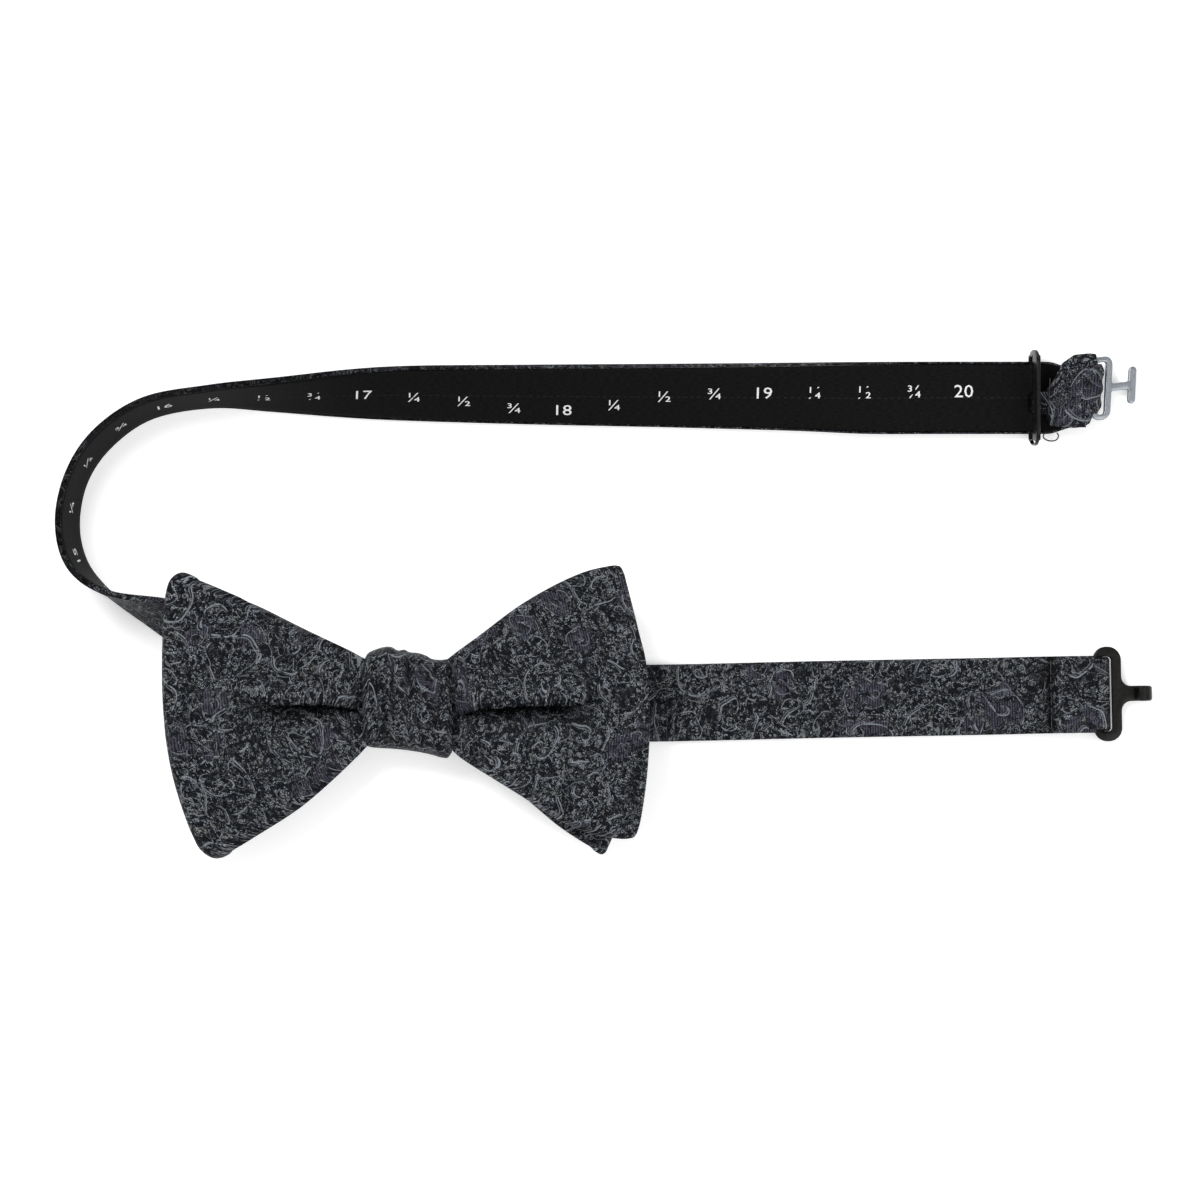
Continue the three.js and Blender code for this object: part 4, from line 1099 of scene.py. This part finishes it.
def close_with_pocket(piece, middle, normal, s_values, across, closed, canvas_name):
    """Adds the pocket's inner wall to a sleeve, and makes the canvas."""
    inner_columns = np.where((across > 0.06) & (across < 0.94))[0][::4]
    last = len(s_values) - (6 if closed else 0)
    rows = np.unique(np.concatenate([np.arange(0, last, 2), [last - 1]]))
    grid = np.ix_(rows, inner_columns)
    inside, lean = middle[grid], normal[grid]
    room = WING / 2 - WING_CLOTH

    def ring(offset):
        return np.concatenate([inside + lean * offset, (inside - lean * offset)[:, ::-1]], 1)

    pocket = ring(room)
    size = pocket.shape[1]
    plain = np.zeros((len(rows), size + 1))
    points, faces, uvs = ring_tube(pocket, np.arange(len(rows), dtype=float), plain, False, closed)
    work = bmesh.new()
    work.from_mesh(piece.data)
    work.verts.ensure_lookup_table()
    made = [work.verts.new(p * MM) for p in points]
    work.verts.ensure_lookup_table()
    for face in faces:
        work.faces.new([made[i] for i in face])
    outer_size = 2 * len(across)
    outer_rows = len(s_values)
    ends = [(0, 0)] if closed else [(0, 0), (outer_rows - 1, len(rows) - 1)]
    for outer_row, inner_row in ends:
        outer_loop = [work.verts[outer_row * outer_size + k] for k in range(outer_size)]
        inner_loop = [made[inner_row * size + k] for k in range(size)]
        edges = [work.edges.get((a, b)) or work.edges.new((a, b))
                 for ring_verts in (outer_loop, inner_loop)
                 for a, b in zip(ring_verts, ring_verts[1:] + ring_verts[:1])]
        bmesh.ops.bridge_loops(work, edges=edges)
    bmesh.ops.recalc_face_normals(work, faces=work.faces)
    work.to_mesh(piece.data)
    work.free()
    piece.data.shade_smooth()
    core_rows = rows[1:-1] if not closed else rows[1:]
    grid = np.ix_(core_rows, inner_columns[1:-1])
    inside, lean = middle[grid], normal[grid]
    thin = ring(0.25)
    points, faces, uvs = ring_tube(
        thin, run_length(inside[:, 0]), np.zeros((len(core_rows), thin.shape[1] + 1))
    )
    return make_mesh(canvas_name, points, faces, [CANVAS], None, uvs)


def across_values(focus, count=150):
    """Stations across a wing, closer together at its edges and at the pleat."""
    t = np.linspace(0, 1, 4001)
    density = 1 + 5 * np.exp(-(((t - focus) / 0.05) ** 2)) + 3 * np.exp(-((t / 0.02) ** 2))
    density += 3 * np.exp(-(((1 - t) / 0.02) ** 2))
    total = np.concatenate([[0], np.cumsum((density[1:] + density[:-1]) / 2)])
    return np.interp(np.linspace(0, total[-1], count), total, t)


def loop_stations(start=0.02, legs=60, turn=22):
    a, b = 0.5 - FOLD_SHARE, 0.5 + FOLD_SHARE
    return np.concatenate([
        np.linspace(start, a, legs)[:-1], np.linspace(a, b, turn)[:-1], np.linspace(b, 1 - start, legs)
    ])


def end_stations(start=0.03, count=70):
    t = np.linspace(0, 1, count)
    return start + (1 - start) * (1 - (1 - t) ** 1.25)


def add_wing(node, surface, stations, focus, closed, shift):
    across = across_values(focus)
    piece, middle, normal = sleeve(node + "_cloth", surface, stations, across, closed, shift)
    canvas = close_with_pocket(piece, middle, normal, stations, across, closed, node + "_canvas")
    declare_cloth(piece, node)
    declare_cloth(canvas, node + "_interlining")
    return piece


# Node, surface, stations along it, the pleat's place across it, and its place in the pattern.
for node, surface, stations, focus, shift in (
    ("front_left_loop", loop(LEFT, 1, 3.6, True, True, 5), loop_stations(), 0.5, (1000, 40)),
    ("rear_left_end", leg(LEFT, 0, 0.035, False, True, 0, 11), end_stations(), 0.5, (1200, 0)),
    ("rear_right_loop", loop(REAR_RIGHT, 0, 1.2, False, False, 17), loop_stations(), 0.5, (1400, 0)),
    ("front_right_end", leg(RIGHT, 2, 0, True, False, 5.0, 23), end_stations(), 0.44, (1640, 25)),
):
    add_wing(node, surface, stations, focus, node.endswith("_end"), shift)

# ---- Knot ------------------------------------------------------------------------------------
WRAP = 1.5
KNOT_MIDDLE = 9.3  # height of the knot's middle above the floor
KNOT_TOP = even_curve([
    (-11.3, 11.4), (-10.2, 12.3), (-6.6, 13.8), (-4.1, 14.0), (-2.3, 13.1), (-0.7, 13.3), (0.5, 12.7), (3.0, 12.4),
    (5.0, 11.7), (6.1, 11.0), (8.6, 10.7), (11.4, 11.2),
])
KNOT_LOW = even_curve([
    (-11.3, -10.9), (-8.9, -11.5), (-2.3, -12.0), (3.0, -12.7), (5.8, -13.3), (8.9, -14.1), (10.9, -14.4),
    (11.9, -14.1),
])


def knot_edge(curve, x):
    fine = curve(np.linspace(0, 1, 300))
    return np.interp(x, fine[:, 0], fine[:, 1])


def knot_ring(x, angle, inward):
    """A point on the wrap: x along the bow, angle round it from +Y through +Z."""
    top, low = knot_edge(KNOT_TOP, x), knot_edge(KNOT_LOW, x)
    half, centre = (top - low) / 2, (top + low) / 2
    cosine, sine = np.cos(angle), np.sin(angle)
    round_y = np.sign(cosine) * np.abs(cosine) ** 0.62
    round_z = np.sign(sine) * np.abs(sine) ** np.where(sine > 0, 0.72, 0.42)
    end = np.clip((np.abs(x - 0.1) - 9.6) / 1.6, 0, 1)
    tuck = 1.5 * end**2
    front = np.clip(sine, 0, 1) ** 0.5
    crease = ripple(x * 0.95 + 1.1 * np.sin(angle * 1.5 + 0.4) + 0.5 * np.cos(angle * 3), 31, 3)
    furrow = np.exp(-(((x - 0.3 - 1.2 * (cosine - 0.3)) / 1.1) ** 2)) * smoothstep(cosine, -0.35, 0.5)
    slant = np.exp(-(((x + 6.2 + 3.0 * cosine) / 0.9) ** 2)) * smoothstep(-cosine, -0.6, 0.3)
    swell = 0.75 * crease * front - 1.5 * furrow * front - 1.0 * slant * front
    height = 9.7 + 0.35 * np.cos(x * 0.28 + 0.5)
    y = centre + (half - tuck - inward) * round_y + 0.3 * swell * cosine
    z = KNOT_MIDDLE + (np.where(sine > 0, height, 9.2) - tuck * np.where(sine > 0, 1, 0.3) - inward) * round_z
    z = z + swell * front
    # painted shade in the wrap's furrow and slanted crease
    dark = np.clip(furrow * front + 0.6 * slant * front, 0, 1) * 0.55
    return np.stack([x + 0 * y, y, z], -1), dark


KNOT_X = np.concatenate([
    np.linspace(-11.2, -9.4, 12)[:-1], np.linspace(-9.4, 9.6, 90)[:-1], np.linspace(9.6, 11.4, 12)
])
KNOT_ANGLE = np.linspace(0, 2 * math.pi, 221)[:-1]
x_grid, a_grid = np.meshgrid(KNOT_X, KNOT_ANGLE, indexing="ij")
outer, knot_painted_shade = knot_ring(x_grid, a_grid, 0.0)
inner, _ = knot_ring(x_grid, a_grid, WRAP)
inner[..., 2] = KNOT_MIDDLE + (inner[..., 2] - KNOT_MIDDLE) * 0.96
size = len(KNOT_ANGLE)
count = len(KNOT_X)
perimeter = np.array([run_length(np.vstack([r, r[:1]])) for r in outer])
points_out, faces_out, uv_out = ring_tube(outer, KNOT_X + 60, perimeter, False, False)
points_in, faces_in, uv_in = ring_tube(inner, KNOT_X + 60, perimeter, False, False)
knot_faces = faces_out + [tuple(i + len(points_out) for i in reversed(f)) for f in faces_in]
knot_uv = uv_out + [uv for k in range(0, len(uv_in), 4) for uv in reversed(uv_in[k : k + 4])]
for row in (0, count - 1):
    for k in range(size):
        n = (k + 1) % size
        a, b = row * size + k, row * size + n
        knot_faces.append((a, b, b + len(points_out), a + len(points_out)))
        knot_uv += [(KNOT_X[row] + 60, perimeter[row, k])] * 4
knot_uv = [(v, u) for u, v in knot_uv]
knot_shade = np.concatenate([knot_painted_shade.ravel(), np.zeros(len(points_in))])
knot = make_mesh(
    "knot_wrap_cloth", np.vstack([points_out, points_in]), knot_faces, [JACQUARD], None, knot_uv, knot_shade
)
declare_cloth(knot, "knot_wrap")
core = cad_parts["knot_core"]
core.data.materials.clear()
core.data.materials.append(JACQUARD)

# ---- Floor and light -------------------------------------------------------------------------
floor_mesh = bpy.data.meshes.new("floor")
FLOOR = 3.0
floor_mesh.from_pydata(
    [(-FLOOR, -FLOOR, 0), (FLOOR, -FLOOR, 0), (FLOOR, FLOOR, 0), (-FLOOR, FLOOR, 0)], [], [(0, 1, 2, 3)]
)
floor = bpy.data.objects.new("floor", floor_mesh)
floor.location.z = -0.0002
scene.collection.objects.link(floor)
paper = bpy.data.materials.new("paper")
paper.use_nodes = True
paper.node_tree.nodes["Principled BSDF"].inputs["Base Color"].default_value = (0.9, 0.9, 0.9, 1)
paper.node_tree.nodes["Principled BSDF"].inputs["Roughness"].default_value = 0.9
paper.node_tree.nodes["Principled BSDF"].inputs["Emission Color"].default_value = (1, 1, 1, 1)
paper.node_tree.nodes["Principled BSDF"].inputs["Emission Strength"].default_value = 0.3
floor_mesh.materials.append(paper)

world = bpy.data.worlds.new("studio")
scene.world = world
world.use_nodes = True
world.node_tree.nodes["Background"].inputs["Color"].default_value = (1, 1, 1, 1)
world.node_tree.nodes["Background"].inputs["Strength"].default_value = 0.75


def soft_light(name, location, size, power):
    data = bpy.data.lights.new(name, "AREA")
    data.shape = "DISK"
    data.size = size
    data.energy = power
    light = bpy.data.objects.new(name, data)
    light.location = location
    light.rotation_euler = (Vector((0.05, 0.03, 0)) - Vector(location)).to_track_quat("-Z", "Y").to_euler()
    scene.collection.objects.link(light)


soft_light("key", (-0.55, 0.75, 1.25), 0.7, 16)
soft_light("fill", (0.9, -0.5, 1.0), 1.0, 7)
